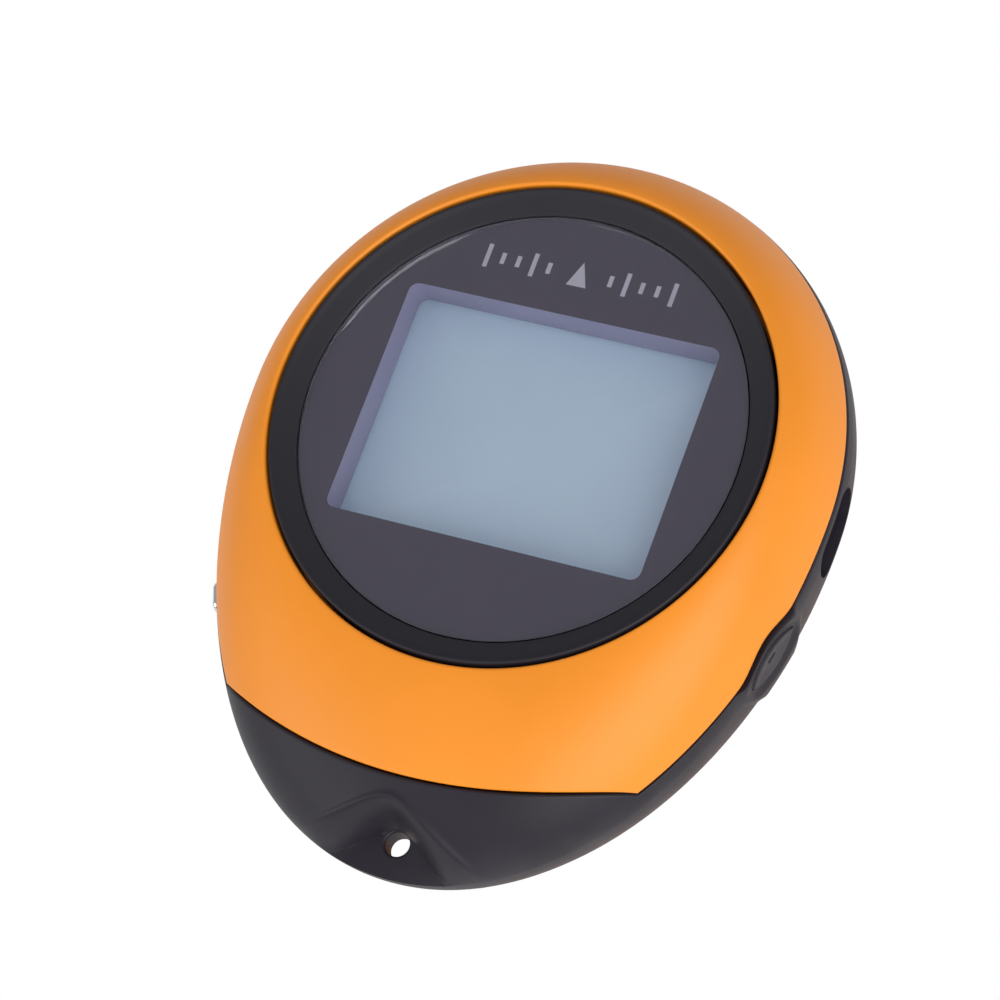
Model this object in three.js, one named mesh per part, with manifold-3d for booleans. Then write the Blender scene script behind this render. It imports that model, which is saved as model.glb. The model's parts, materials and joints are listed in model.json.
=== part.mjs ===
// Pocket GPS receiver with a round display: an egg-shaped body of three shells (front cover, middle
// frame with a lanyard eye, back cover) round a display stack, a circuit board, a flat cell and two
// spring-return side keys.
//
// Millimetres, +Z out of the display, +Y towards the blunt top end, -Y towards the pointed tail.
// Everything is drawn about the display's axis; the outer group then moves it so that the origin is
// the middle of the body's length, on the back's flat land.

import * as THREE from "three";
import { mergeVertices } from "three/addons/utils/BufferGeometryUtils.js";
import Module from "manifold-3d";

const wasm = await Module();
wasm.setup();

// ---------------------------------------------------------------- driving dimensions
const GAP = 0.3;                 // between pieces that touch on the real object
const HALF_WIDTH = 28.2;         // body outline: two half ellipses that meet on the display's axis
const TOP_REACH = 28.9;
const TAIL_REACH = 40.7;
const HEIGHT = 18;
const WIDEST_Z = 9.5;            // level of the outline
const WALL = 1.6;
const BULGE = { front: 1.65, back: 2.2 };     // 2 is a true ellipse, less is flatter, more is fuller
const TURNS = 48;                // facets round the body

const RING_R = 23;               // outer edge of the black ring round the display
const LAND_R = 20;               // flat land of the back
const LENS_R = 20.3;
const LENS_TOP = 16.9;
const LENS_THICK = 1;
const WINDOW = { x: 15.05, y: 11.25 };        // half sizes of the clear window

const BAND = { bottom: 5.8, top: 11.2 };      // black band of the middle frame
const SPLIT = { tailY: -33.15, radius: 41.8 }; // arc where the front cover meets the tail

const EYE = { y: -37.4, radius: 1.1, bottom: 7.4, top: 9.4 };   // lanyard eye
const SCOOP = { peakY: -35.4, wall: 1.4, backGrow: 1, backWall: 0.9 };   // bell-shaped scoop round the eye
const SHELF_Z = 8.15;            // underside of the frame's ledges that the board screws bite into
const TAB = { half: 2.4, from: 19, to: 27, thick: 1.5 };      // the two ledges at the blunt end

const BOARD = { bottom: 6.1, top: 7.3, halfWidth: 24.4, topReach: 24.6, tailReach: 33 };
const GLASS = { x: 16.9, y: 12.9 };
const HOLDER = { x: 18.2, y: 14.2, wall: 1, bottom: 7.6, shoulder: 12.4, top: 13.7, roof: 11.8 };

const SCREW = { shaft: 0.8, hole: 1.1, head: 1.5, headHole: 1.9, headThick: 1.1, tip: 11.8 };
const BOSS = { front: 2.0, back: 2.6, boardHole: 2.9 };
const seatZ = (y) => (y > 0 ? 2.6 : 3.7);      // floor of a screw's counterbore: the back rises to the tail
const SCREW_AT = [[16.3, 16.3], [-16.3, 16.3], [13, -27], [-13, -27]];
const BOARD_SCREW = { shaft: 0.5, hole: 0.8, head: 1.1, headThick: 0.8, bite: 1.25 };
const BOARD_SCREW_AT = [[9.5, 21.2], [-9.5, 21.2], [8, -30.4], [-8, -30.4]];

const PORT = { y: 0, z: 8.5, width: 8.4, height: 3.7, socketZ: 8.8 };
const ENTER = { y: -12.9, z: 9.6, length: 6.4, height: 2.8, lidLength: 9.4, lidRise: 0.9, proud: 0.35 };
const POWER = { y: -20, z: 9.6, length: 3.2, height: 1.5, proud: 0.45 };
const ENTER_FLANGE = { length: 7.8, height: 2.7, roomLength: 8.4, roomHeight: 3.8, roomStart: -3.05 };
const POWER_FLANGE = { length: 6.2, height: 2.2, roomLength: 6.9, roomHeight: 4, roomStart: -2.4 };
const SWITCH = { z: 9, width: 4.4, depth: 3, bottom: 7.6, top: 10.3, inset: 6.5 };

// ---------------------------------------------------------------- materials
const plastic = (color, roughness) => new THREE.MeshStandardMaterial({ color, roughness, metalness: 0 });
const metal = (color, roughness) => new THREE.MeshStandardMaterial({ color, roughness, metalness: 1 });
const MATERIAL = {
  orange: plastic(0xf0913a, 0.5),
  black: plastic(0x35323a, 0.55),
  bezel: plastic(0x2b2930, 0.45),
  lens: new THREE.MeshStandardMaterial({ color: 0x48455a, roughness: 0.08, transparent: true, opacity: 0.5 }),
  rubber: plastic(0x3a373d, 0.75),
  holder: plastic(0x8f8c9c, 0.6),
  glass: plastic(0x99aac0, 0.15),
  board: plastic(0x1f5a3a, 0.5),
  chip: plastic(0x202022, 0.5),
  ceramic: plastic(0xc9b99a, 0.6),
  white: plastic(0xe9e9e6, 0.5),
  foam: plastic(0x55555a, 0.95),
  chrome: metal(0xd8d8dc, 0.12),
  steel: metal(0xa9abb0, 0.3),
  cell: metal(0xb9bcc2, 0.4),
  red: plastic(0xb3261e, 0.45),
  lead: plastic(0x1c1c1e, 0.45),
};

// ---------------------------------------------------------------- solids
const shift = (geometry, x, y, z) => geometry.translate(x, y, z);

// A closed geometry as a solid that can be joined and cut.
function solid(geometry) {
  const bare = geometry.index ? geometry.clone() : geometry;
  bare.deleteAttribute("normal");
  bare.deleteAttribute("uv");
  const merged = mergeVertices(bare, 1e-4);
  return new wasm.Manifold(new wasm.Mesh({
    numProp: 3,
    vertProperties: new Float32Array(merged.attributes.position.array),
    triVerts: new Uint32Array(merged.index.array),
  }));
}

const join = (...parts) => parts.reduce((whole, part) => whole.add(part));

function block(x0, x1, y0, y1, z0, z1) {
  const box = new THREE.BoxGeometry(x1 - x0, y1 - y0, z1 - z0);
  return solid(shift(box, (x0 + x1) / 2, (y0 + y1) / 2, (z0 + z1) / 2));
}

function upright(radius, x, y, z0, z1, sides = 16) {
  const cylinder = new THREE.CylinderGeometry(radius, radius, z1 - z0, sides);
  return solid(shift(cylinder.rotateX(Math.PI / 2), x, y, (z0 + z1) / 2));
}

function prism(shape, z0, z1, curveSegments = 10) {
  const slab = new THREE.ExtrudeGeometry(shape, { depth: z1 - z0, bevelEnabled: false, curveSegments });
  return solid(shift(slab, 0, 0, z0));
}

const shapeOf = (points) => new THREE.Shape(points.map(([x, y]) => new THREE.Vector2(x, y)));

// Turned solid about the display's axis, from [radius, z] points listed upwards on the outside.
function turned(profile, sides = TURNS) {
  const points = profile.map(([r, z]) => new THREE.Vector2(r, z));
  return solid(new THREE.LatheGeometry(points, sides).rotateX(Math.PI / 2));
}

// Turned solid whose circle of radius coreR stays round, while the rings beyond it swell evenly
// until radius HALF_WIDTH lies on the body's outline.
function swollen(profile, coreR) {
  const points = profile.map(([r, z]) => new THREE.Vector2(r, z));
  const geometry = new THREE.LatheGeometry(points, TURNS).rotateX(Math.PI / 2);
  const place = geometry.attributes.position;
  for (let i = 0; i < place.count; i += 1) {
    const radius = Math.hypot(place.getX(i), place.getY(i));
    const share = (radius - coreR) / (HALF_WIDTH - coreR);
    if (share <= 0) continue;
    const reach = place.getY(i) > 0 ? TOP_REACH : TAIL_REACH;
    const alongY = coreR + share * (reach - coreR);
    place.setY(i, place.getY(i) / radius * alongY);
  }
  return solid(geometry);
}

// Points of a quarter of a superellipse, from [r0, z0], where the wall is upright, to [r1, z1],
// where it is flat.
function shoulder(r0, z0, r1, z1, steps, bulge) {
  const power = 2 / bulge;
  return Array.from({ length: steps + 1 }, (_, i) => {
    const turn = (i / steps) * (Math.PI / 2);
    const across = Math.max(Math.cos(turn), 0) ** power;
    return [r1 + (r0 - r1) * across, z0 + (z1 - z0) * Math.sin(turn) ** power];
  });
}

// ---------------------------------------------------------------- side keys' own axes
const halfWidthAt = (y) => HALF_WIDTH * Math.sqrt(1 - (y / (y > 0 ? TOP_REACH : TAIL_REACH)) ** 2);

// Point and outward direction of the outline at height y, on the side +1 (right) or -1 (left).
function sideAt(y, side) {
  const x = side * halfWidthAt(y);
  const reach = y > 0 ? TOP_REACH : TAIL_REACH;
  const normal = new THREE.Vector2(x / HALF_WIDTH ** 2, y / reach ** 2).normalize();
  return { x, y, normal };
}

// Turns (along the side, up, outwards) into the object's own axes.
function sideBasis(at) {
  const outward = new THREE.Vector3(at.normal.x, at.normal.y, 0);
  const up = new THREE.Vector3(0, 0, 1);
  return new THREE.Matrix4().makeBasis(new THREE.Vector3().crossVectors(up, outward), up, outward);
}

// Extrudes a shape drawn in (along the side, up) from depth d0 to d1 along the outward direction.
function sidePiece(at, z, shape, d0, d1, curveSegments = 8) {
  const slab = new THREE.ExtrudeGeometry(shape, { depth: d1 - d0, bevelEnabled: false, curveSegments });
  slab.translate(0, 0, d0);
  slab.applyMatrix4(sideBasis(at));
  return solid(shift(slab, at.x, at.y, z));
}

// Rounded oblong in the side's plane.
function slotShape(length, height) {
  const r = height / 2;
  const flat = length / 2 - r;
  const shape = new THREE.Shape();
  shape.absarc(flat, 0, r, -Math.PI / 2, Math.PI / 2);
  shape.absarc(-flat, 0, r, Math.PI / 2, Math.PI * 1.5);
  shape.closePath();
  return shape;
}

function rectShape(width, height) {
  const x = width / 2;
  const y = height / 2;
  return shapeOf([[-x, -y], [x, -y], [x, y], [-x, y]]);
}

// Pointed oval, like an eye: two arcs that meet at its ends.
function eyeShape(length, height) {
  const half = length / 2;
  const shape = new THREE.Shape();
  shape.moveTo(-half, 0);
  shape.quadraticCurveTo(0, -height, half, 0);
  shape.quadraticCurveTo(0, height, -half, 0);
  return shape;
}

const enterSide = sideAt(ENTER.y, 1);
const powerSide = sideAt(POWER.y, -1);
const portSide = { x: HALF_WIDTH, y: PORT.y, normal: new THREE.Vector2(1, 0) };

// ---------------------------------------------------------------- body shells
const slice = (z0, z1) => block(-50, 50, -60, 50, z0, z1);

// Full body in front of the level z0, moved inwards by inset.
function frontDome(z0, inset) {
  const outer = HALF_WIDTH - inset;
  const foot = Math.min(z0, WIDEST_Z) - 1;
  const rise = shoulder(outer, WIDEST_Z, RING_R - inset, HEIGHT - inset, 8, BULGE.front);
  const dome = swollen([[0, foot], [outer, foot], ...rise, [0, HEIGHT - inset]], RING_R - inset);
  return dome.intersect(slice(z0, HEIGHT + 1));
}

// Full body behind the level z1, moved inwards by inset.
function backDome(z1, inset) {
  const outer = HALF_WIDTH - inset;
  const roof = Math.max(z1, WIDEST_Z) + 1;
  const fall = shoulder(outer, WIDEST_Z, LAND_R - inset / 2, inset, 6, BULGE.back).reverse();
  const dome = swollen([[0, inset], ...fall, [outer, roof], [0, roof]], LAND_R);
  return dome.intersect(slice(-1, z1));
}

// Full body in front of the level z0, which is below the widest level, moved inwards by inset.
function wholeDome(z0, inset) {
  const behind = backDome(WIDEST_Z, inset).intersect(slice(z0, WIDEST_Z));
  return frontDome(WIDEST_Z - 0.01, inset).add(behind);
}

// Everything on the tail's side of the split arc, moved by offset towards the tail.
function tailSide(offset) {
  const r = SPLIT.radius + offset;
  const centreY = SPLIT.tailY + SPLIT.radius;
  const corner = Math.acos(HALF_WIDTH / r);
  const cornerY = centreY - r * Math.sin(corner);
  const shape = new THREE.Shape();
  shape.absarc(0, centreY, r, Math.PI + corner, Math.PI * 2 - corner);
  shape.lineTo(HALF_WIDTH * 2, cornerY);
  shape.lineTo(HALF_WIDTH * 2, -TAIL_REACH * 2);
  shape.lineTo(-HALF_WIDTH * 2, -TAIL_REACH * 2);
  shape.lineTo(-HALF_WIDTH * 2, cornerY);
  shape.closePath();
  return prism(shape, -1, HEIGHT + 1, 24);
}

// Bell-shaped outline round the lanyard eye, open towards the tail's tip, grown by offset.
function bellShape(offset) {
  const peak = SCOOP.peakY + offset;
  const brow = 2 + offset * 0.8;
  const flank = { x: 5.4 + offset * 0.6, y: peak - 3.5 - offset * 0.2 };
  const hem = { x: 11, y: peak - 4.2 };
  const foot = -TAIL_REACH - 2;
  const shape = new THREE.Shape();
  shape.moveTo(-hem.x, foot);
  shape.lineTo(-hem.x, hem.y);
  shape.bezierCurveTo(-flank.x, flank.y, -brow, peak, 0, peak);
  shape.bezierCurveTo(brow, peak, flank.x, flank.y, hem.x, hem.y);
  shape.lineTo(hem.x, foot);
  shape.closePath();
  return shape;
}

// Raised lid of the black band over the enter key.
function lidShape(extra) {
  const half = ENTER.lidLength / 2 + extra;
  const foot = BAND.bottom - ENTER.z;
  const brow = BAND.top - ENTER.z + extra;
  const shape = new THREE.Shape();
  shape.moveTo(-half, foot);
  shape.lineTo(half, foot);
  shape.lineTo(half, brow - 0.4);
  shape.bezierCurveTo(half * 0.55, brow, half * 0.5, brow + ENTER.lidRise, 0, brow + ENTER.lidRise);
  shape.bezierCurveTo(-half * 0.5, brow + ENTER.lidRise, -half * 0.55, brow, -half, brow - 0.4);
  shape.closePath();
  return shape;
}

const ledge = { inner: 21.6, outer: 24.8, bottom: 12.7, top: 14.1 };

function frontCover() {
  const edge = BAND.top + GAP / 2;
  const rib = turned([
    [ledge.inner, ledge.bottom], [ledge.outer, ledge.bottom], [ledge.outer, HEIGHT - WALL],
    [RING_R + GAP - 0.1, HEIGHT - WALL], [RING_R + GAP - 0.1, ledge.top], [ledge.inner, ledge.top],
    [ledge.inner, ledge.bottom],
  ]);
  const opening = upright(RING_R + 0.2, 0, 0, ledge.top, HEIGHT + 1, TURNS);
  let cover = frontDome(edge, 0).subtract(frontDome(edge - 1, WALL)).subtract(opening);
  cover = join(cover, rib);
  for (const [x, y] of SCREW_AT) {
    const top = y > 0 ? ledge.bottom + 0.4 : HEIGHT - WALL - 1;
    cover = cover.add(upright(BOSS.front, x, y, BOARD.top + GAP, top));
  }
  cover = cover.subtract(tailSide(-GAP / 2));
  for (const [x, y] of SCREW_AT) cover = cover.subtract(upright(SCREW.hole, x, y, 6, 12.2, 12));
  return cover.subtract(sidePiece(enterSide, ENTER.z, lidShape(GAP), -4, 2));
}

function middleFrame() {
  const bottom = BAND.bottom + GAP / 2;
  const top = BAND.top - GAP / 2;
  const inner = HALF_WIDTH - 2.2;
  const dome = wholeDome(bottom, 0);
  const hollow = swollen([[0, 2], [inner, 2], [inner, top + 1], [0, top + 1]], RING_R - WALL);
  const band = dome.subtract(hollow).intersect(block(-40, 40, -50, 40, 0, top));
  const tail = dome.subtract(frontDome(bottom - 1, WALL + 0.4)).intersect(tailSide(GAP / 2));
  const around = prism(bellShape(SCOOP.wall), EYE.bottom, HEIGHT).intersect(wholeDome(EYE.bottom, 0));
  const shelf = block(-15, 15, -40, -29.5, BOARD.top + GAP, BOARD.top + 1.7)
    .intersect(frontDome(5, 1))
    .intersect(block(-40, 40, -50, 0, SHELF_Z, 20).add(prism(bellShape(0), 0, 20)));
  const shelfAbove = shelf.subtract(block(-40, 40, -34, 0, 0, SHELF_Z));
  let frame = join(band, tail, around.intersect(tailSide(GAP / 2)), shelfAbove);
  for (const [x, y] of BOARD_SCREW_AT) {
    if (y < 0) continue;
    const tab = block(x - TAB.half, x + TAB.half, TAB.from, TAB.to, SHELF_Z, SHELF_Z + TAB.thick);
    frame = frame.add(tab.intersect(frontDome(5, 1)));
  }
  const lid = sidePiece(enterSide, ENTER.z, lidShape(0), -3.2, 2).intersect(wholeDome(bottom, -ENTER.proud));
  frame = frame.add(lid);
  return cutFrame(frame);
}

// Openings of the middle frame: scoop and eye, charging port, key slots and board screw holes.
function cutFrame(frame) {
  const backNotch = SCOOP.backGrow + SCOOP.backWall + GAP;
  let cut = frame.subtract(prism(bellShape(0), EYE.top, HEIGHT + 1));
  cut = cut.subtract(prism(bellShape(backNotch), 0, EYE.bottom));
  cut = cut.subtract(upright(EYE.radius, 0, EYE.y, 0, HEIGHT, 20));
  cut = cut.subtract(sidePiece(portSide, PORT.z, slotShape(PORT.width, PORT.height), -4, 1));
  const enterHole = eyeShape(ENTER.length + GAP * 2, ENTER.height + GAP * 2);
  const powerHole = slotShape(POWER.length + GAP * 2, POWER.height + GAP * 2);
  const enterRoom = rectShape(ENTER_FLANGE.roomLength, ENTER_FLANGE.roomHeight);
  const powerRoom = rectShape(POWER_FLANGE.roomLength, POWER_FLANGE.roomHeight);
  cut = cut.subtract(sidePiece(enterSide, ENTER.z, enterHole, -8, 2));
  cut = cut.subtract(sidePiece(powerSide, POWER.z, powerHole, -4, 2));
  cut = cut.subtract(sidePiece(powerSide, POWER.z, powerRoom, -9, POWER_FLANGE.roomStart));
  cut = cut.subtract(sidePiece(enterSide, ENTER.z, enterRoom, -9, ENTER_FLANGE.roomStart));
  for (const [x, y] of BOARD_SCREW_AT) cut = cut.subtract(upright(BOARD_SCREW.hole, x, y, 5, 12, 10));
  return cut;
}

function backCover() {
  const rim = BAND.bottom - GAP / 2;
  let cover = backDome(rim, 0).subtract(backDome(rim + 1, WALL - 0.1));
  const notchTop = EYE.bottom - GAP;
  const notchWall = prism(bellShape(SCOOP.backGrow + SCOOP.backWall), 0, notchTop);
  cover = cover.add(notchWall.intersect(backDome(notchTop, 0)));
  for (const [x, y] of SCREW_AT) {
    const boss = upright(BOSS.back, x, y, 0.6, BOARD.bottom - GAP).intersect(backDome(rim, 0));
    cover = cover.add(boss);
  }
  for (const [x, y] of SCREW_AT) {
    cover = cover.subtract(upright(SCREW.hole, x, y, 0, 12, 12));
    cover = cover.subtract(upright(SCREW.headHole, x, y, -1, seatZ(y), 16));
  }
  return cover.subtract(prism(bellShape(SCOOP.backGrow), -1, HEIGHT));
}

// ---------------------------------------------------------------- display
function bezelRing() {
  const floorTop = LENS_TOP - LENS_THICK - 0.9;
  const spigot = ledge.inner - GAP;
  const wall = RING_R - 0.1;
  const seat = LENS_R + GAP;
  const cup = turned([
    [0, 14], [spigot, 14], [spigot, 15.1], [wall, 15.1], [wall, HEIGHT - 0.25],
    [wall - 0.25, HEIGHT - 0.05], [seat, LENS_TOP + 0.05], [seat, floorTop], [0, floorTop],
  ]);
  const w = WINDOW.x + 0.2;
  const h = WINDOW.y + 0.2;
  return cup.subtract(block(-w, w, -h, h, 13, HEIGHT));
}

function discWithWindow(radius, z0, z1) {
  const w = WINDOW.x + 0.5;
  const h = WINDOW.y + 0.5;
  return upright(radius, 0, 0, z0, z1, TURNS).subtract(block(-w, w, -h, h, z0 - 1, z1 + 1));
}

function lcdHolder() {
  const h = HOLDER;
  const outer = block(-h.x, h.x, -h.y, h.y, h.bottom, h.shoulder);
  const neck = block(-16.3, 16.3, -12.5, 12.5, h.shoulder - 0.2, h.top);
  const pocket = block(-h.x + h.wall, h.x - h.wall, -h.y + h.wall, h.y - h.wall, h.bottom - 1, h.roof);
  const tunnel = block(-WINDOW.x - 0.2, WINDOW.x + 0.2, -WINDOW.y - 0.2, WINDOW.y + 0.2, 0, 20);
  return join(outer, neck).subtract(pocket).subtract(tunnel);
}

// ---------------------------------------------------------------- board and what stands on it
function mainBoard() {
  const shape = new THREE.Shape();
  shape.absellipse(0, 0, BOARD.halfWidth, BOARD.topReach, 0, Math.PI);
  shape.absellipse(0, 0, BOARD.halfWidth, BOARD.tailReach, Math.PI, Math.PI * 2);
  shape.closePath();
  let board = prism(shape, BOARD.bottom, BOARD.top, 20);
  for (const [x, y] of SCREW_AT) board = board.subtract(upright(BOSS.boardHole, x, y, 5, 9, 14));
  for (const [x, y] of BOARD_SCREW_AT) board = board.subtract(upright(BOARD_SCREW.hole, x, y, 5, 9, 10));
  return board.intersect(block(-40, 40, -33.2, 40, 5, 9));
}

function shieldCan() {
  const can = block(-5, 9, -27.4, -18.8, 3.9, BOARD.bottom - GAP);
  return can.subtract(block(-4.6, 8.6, -27, -19.2, 4.3, 7));
}

function usbShell() {
  const outer = sidePiece(portSide, PORT.socketZ, slotShape(7.5, 2.4), -6.6, -1.1);
  return outer.subtract(sidePiece(portSide, PORT.socketZ, slotShape(6.9, 1.8), -6.1, 1));
}

function usbTongue() {
  return sidePiece(portSide, PORT.socketZ + 0.15, rectShape(4, 0.6), -5.8, -1.9);
}

function switchBody(at) {
  const middle = (SWITCH.bottom + SWITCH.top) / 2;
  const shape = rectShape(SWITCH.width, SWITCH.top - SWITCH.bottom);
  const mouth = rectShape(2.4, 1.6);
  return sidePiece(at, middle, shape, -SWITCH.inset - SWITCH.depth / 2, -SWITCH.inset + SWITCH.depth / 2)
    .subtract(sidePiece(at, SWITCH.z, mouth, -SWITCH.inset - 0.4, 0));
}

const plungerTip = -SWITCH.inset + SWITCH.depth / 2 + 0.7;

function switchPlunger(at) {
  return sidePiece(at, SWITCH.z, rectShape(1.7, 1.0), -SWITCH.inset + 0.5, plungerTip);
}

// ---------------------------------------------------------------- keys
function enterKey() {
  const cap = sidePiece(enterSide, ENTER.z, eyeShape(ENTER.length, ENTER.height), -2.6, -0.15, 8);
  const flangeShape = rectShape(ENTER_FLANGE.length, ENTER_FLANGE.height);
  const flange = sidePiece(enterSide, ENTER.z - 0.2, flangeShape, -3.9, -3.35);
  const neck = sidePiece(enterSide, ENTER.z - 0.2, rectShape(4.2, 1.2), -3.5, -2.5);
  const stem = sidePiece(enterSide, SWITCH.z + 0.1, rectShape(1.8, 1.0), plungerTip + GAP, -3.6);
  const dish = new THREE.SphereGeometry(1, 16, 10).scale(2.6, 0.9, 0.6);
  const mark = sidePiece(enterSide, ENTER.z, slotShape(0.8, 0.45), -1.3, 1);
  dish.applyMatrix4(sideBasis(enterSide));
  const hollow = solid(shift(dish, enterSide.x, enterSide.y, ENTER.z));
  return join(cap, neck, flange, stem).subtract(hollow).subtract(mark);
}

function powerKey() {
  const headShape = slotShape(POWER.length, POWER.height);
  const crownShape = slotShape(POWER.length - 0.5, POWER.height - 0.5);
  const head = sidePiece(powerSide, POWER.z, headShape, -2.8, POWER.proud - 0.3);
  const crown = sidePiece(powerSide, POWER.z, crownShape, 0, POWER.proud);
  const flangeShape = rectShape(POWER_FLANGE.length, POWER_FLANGE.height);
  const flange = sidePiece(powerSide, POWER.z - 0.1, flangeShape, -3.5, -2.7);
  const stem = sidePiece(powerSide, SWITCH.z, rectShape(1.8, 1.0), plungerTip + GAP, -3.3);
  return join(head, crown, flange, stem);
}

// ---------------------------------------------------------------- fasteners and leads
function caseScrew(x, y) {
  const under = seatZ(y) - GAP;
  const face = under - SCREW.headThick;
  const head = upright(SCREW.head, x, y, face, under, 14);
  const shaft = upright(SCREW.shaft, x, y, under - 0.1, SCREW.tip, 10);
  return join(head, shaft).subtract(block(x - 1, x + 1, y - 0.2, y + 0.2, 0, face + 0.4))
    .subtract(block(x - 0.2, x + 0.2, y - 1, y + 1, 0, face + 0.4));
}

function boardScrew(x, y) {
  const under = BOARD.bottom - GAP;
  const head = upright(BOARD_SCREW.head, x, y, under - BOARD_SCREW.headThick, under, 12);
  const shaft = upright(BOARD_SCREW.shaft, x, y, under - 0.1, SHELF_Z + BOARD_SCREW.bite, 8);
  return join(head, shaft);
}

function wire(points, radius) {
  const path = new THREE.CatmullRomCurve3(points.map((p) => new THREE.Vector3(...p)));
  const section = new THREE.Shape().absarc(0, 0, radius, 0, Math.PI * 2);
  return solid(new THREE.ExtrudeGeometry(section, { steps: 12, extrudePath: path, curveSegments: 4 }));
}

// ---------------------------------------------------------------- assembly
const unit = new THREE.Group();
const object = new THREE.Group();
object.position.y = (TAIL_REACH - TOP_REACH) / 2;
unit.add(object);

function put(name, body, material) {
  const { numProp, vertProperties, triVerts } = body.getMesh();
  const geometry = new THREE.BufferGeometry();
  const place = new Float32Array((vertProperties.length / numProp) * 3);
  for (let i = 0; i < place.length / 3; i += 1) {
    for (let k = 0; k < 3; k += 1) place[i * 3 + k] = vertProperties[i * numProp + k];
  }
  geometry.setAttribute("position", new THREE.BufferAttribute(place, 3));
  geometry.setIndex(new THREE.BufferAttribute(triVerts, 1));
  geometry.computeVertexNormals();
  const piece = new THREE.Mesh(geometry, MATERIAL[material]);
  piece.name = name;
  object.add(piece);
}

function addShells() {
  put("front_cover", frontCover(), "orange");
  put("middle_frame", middleFrame(), "black");
  put("back_cover", backCover(), "orange");
}

function addDisplay() {
  const lensBottom = LENS_TOP - LENS_THICK;
  put("bezel_ring", bezelRing(), "bezel");
  put("bezel_seal", turned([[21.9, 14.4], [22.6, 14.4], [22.6, 14.8], [21.9, 14.8], [21.9, 14.4]]), "rubber");
  put("display_lens", upright(LENS_R, 0, 0, lensBottom, LENS_TOP, TURNS), "lens");
  put("lens_adhesive", discWithWindow(LENS_R - 0.2, lensBottom - 0.6, lensBottom - GAP), "foam");
  put("lcd_holder", lcdHolder(), "holder");
  put("lcd_front_glass", block(-GLASS.x, GLASS.x, -GLASS.y, GLASS.y, 10.8, 11.5), "glass");
  put("lcd_rear_glass", block(-GLASS.x, GLASS.x, -11.5, GLASS.y, 9.9, 10.5), "glass");
  put("light_guide", block(-15, GLASS.x, -11.4, GLASS.y, 8.7, 9.6), "white");
  put("backlight_led_1", block(-16.2, -15.3, 3, 6, 8.7, 9.5), "white");
  put("backlight_led_2", block(-16.2, -15.3, -6, -3, 8.7, 9.5), "white");
  put("contact_strip", block(-14, 14, -12.8, -11.9, BOARD.top + GAP, 10.5), "rubber");
}

function addBoard() {
  const top = BOARD.top + GAP;
  put("main_board", mainBoard(), "board");
  put("patch_antenna", block(-6.5, 6.5, -29.2, -16.2, top, top + 4), "ceramic");
  put("processor", block(-12, -2, -5, 5, top, top + 0.8), "chip");
  put("memory_chip", block(3, 11, -3, 3, top, top + 0.8), "chip");
  put("compass_chip", block(-1.5, 1.5, 18, 21, top, top + 0.8), "chip");
  put("crystal", block(-13, -9.5, 7.5, 9, top, top + 0.7), "steel");
  put("shield_can", shieldCan(), "steel");
  put("receiver_chip", block(-1, 5, -26, -20, 4.8, BOARD.bottom - GAP), "chip");
  put("usb_shell", usbShell(), "steel");
  put("usb_tongue", usbTongue(), "chip");
}

function addKeys() {
  put("enter_key", enterKey(), "rubber");
  put("enter_switch", switchBody(enterSide), "chip");
  put("enter_switch_plunger", switchPlunger(enterSide), "white");
  put("power_key", powerKey(), "chrome");
  put("power_switch", switchBody(powerSide), "chip");
  put("power_switch_plunger", switchPlunger(powerSide), "white");
}

function addPower() {
  put("battery_pad", block(-11, 11, -12, 12, 1.8, 2.2), "foam");
  put("battery_cell", block(-13.2, 13.2, -15, 15, 2.5, 5.7), "cell");
  put("battery_socket", block(-14.6, -11.6, -19.4, -15.8, 4.3, BOARD.bottom - GAP), "white");
  put("battery_plug", block(-11.3, -9.3, -19, -16, 4.3, 5.6), "white");
  const redPath = [
    [-9, -18.2, 4.9], [-6.8, -17.6, 4.5], [0, -17.4, 4.1], [2.6, -16.9, 4.1], [3.2, -15.4, 4.1],
  ];
  const blackPath = [
    [-9, -16.9, 4.9], [-7, -16.6, 4.5], [-3.6, -16.5, 4.1], [-2.4, -16.2, 4.1], [-2, -15.4, 4.1],
  ];
  put("battery_lead_red", wire(redPath, 0.35), "red");
  put("battery_lead_black", wire(blackPath, 0.35), "lead");
}

function addFasteners() {
  SCREW_AT.forEach(([x, y], i) => put(`case_screw_${i + 1}`, caseScrew(x, y), "steel"));
  BOARD_SCREW_AT.forEach(([x, y], i) => put(`board_screw_${i + 1}`, boardScrew(x, y), "steel"));
}

addShells();
addDisplay();
addBoard();
addKeys();
addPower();
addFasteners();

export default unit;
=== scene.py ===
# %% [markdown]
# # A pocket GPS receiver
# The real thing is a palm-sized egg: two orange shells closed over a black middle frame, a round
# black ring with a display under a flat lens, a tail with a lanyard eye, and a key on each side.
# The CAD model gives every place and size. The lesson builds the smooth skins that a moulder would
# polish into the tool, as numpy surfaces, and gives each material its grain.

# %% Load the frame
import json

import bmesh
import bpy
import numpy as np
from mathutils import Matrix, Vector


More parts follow.
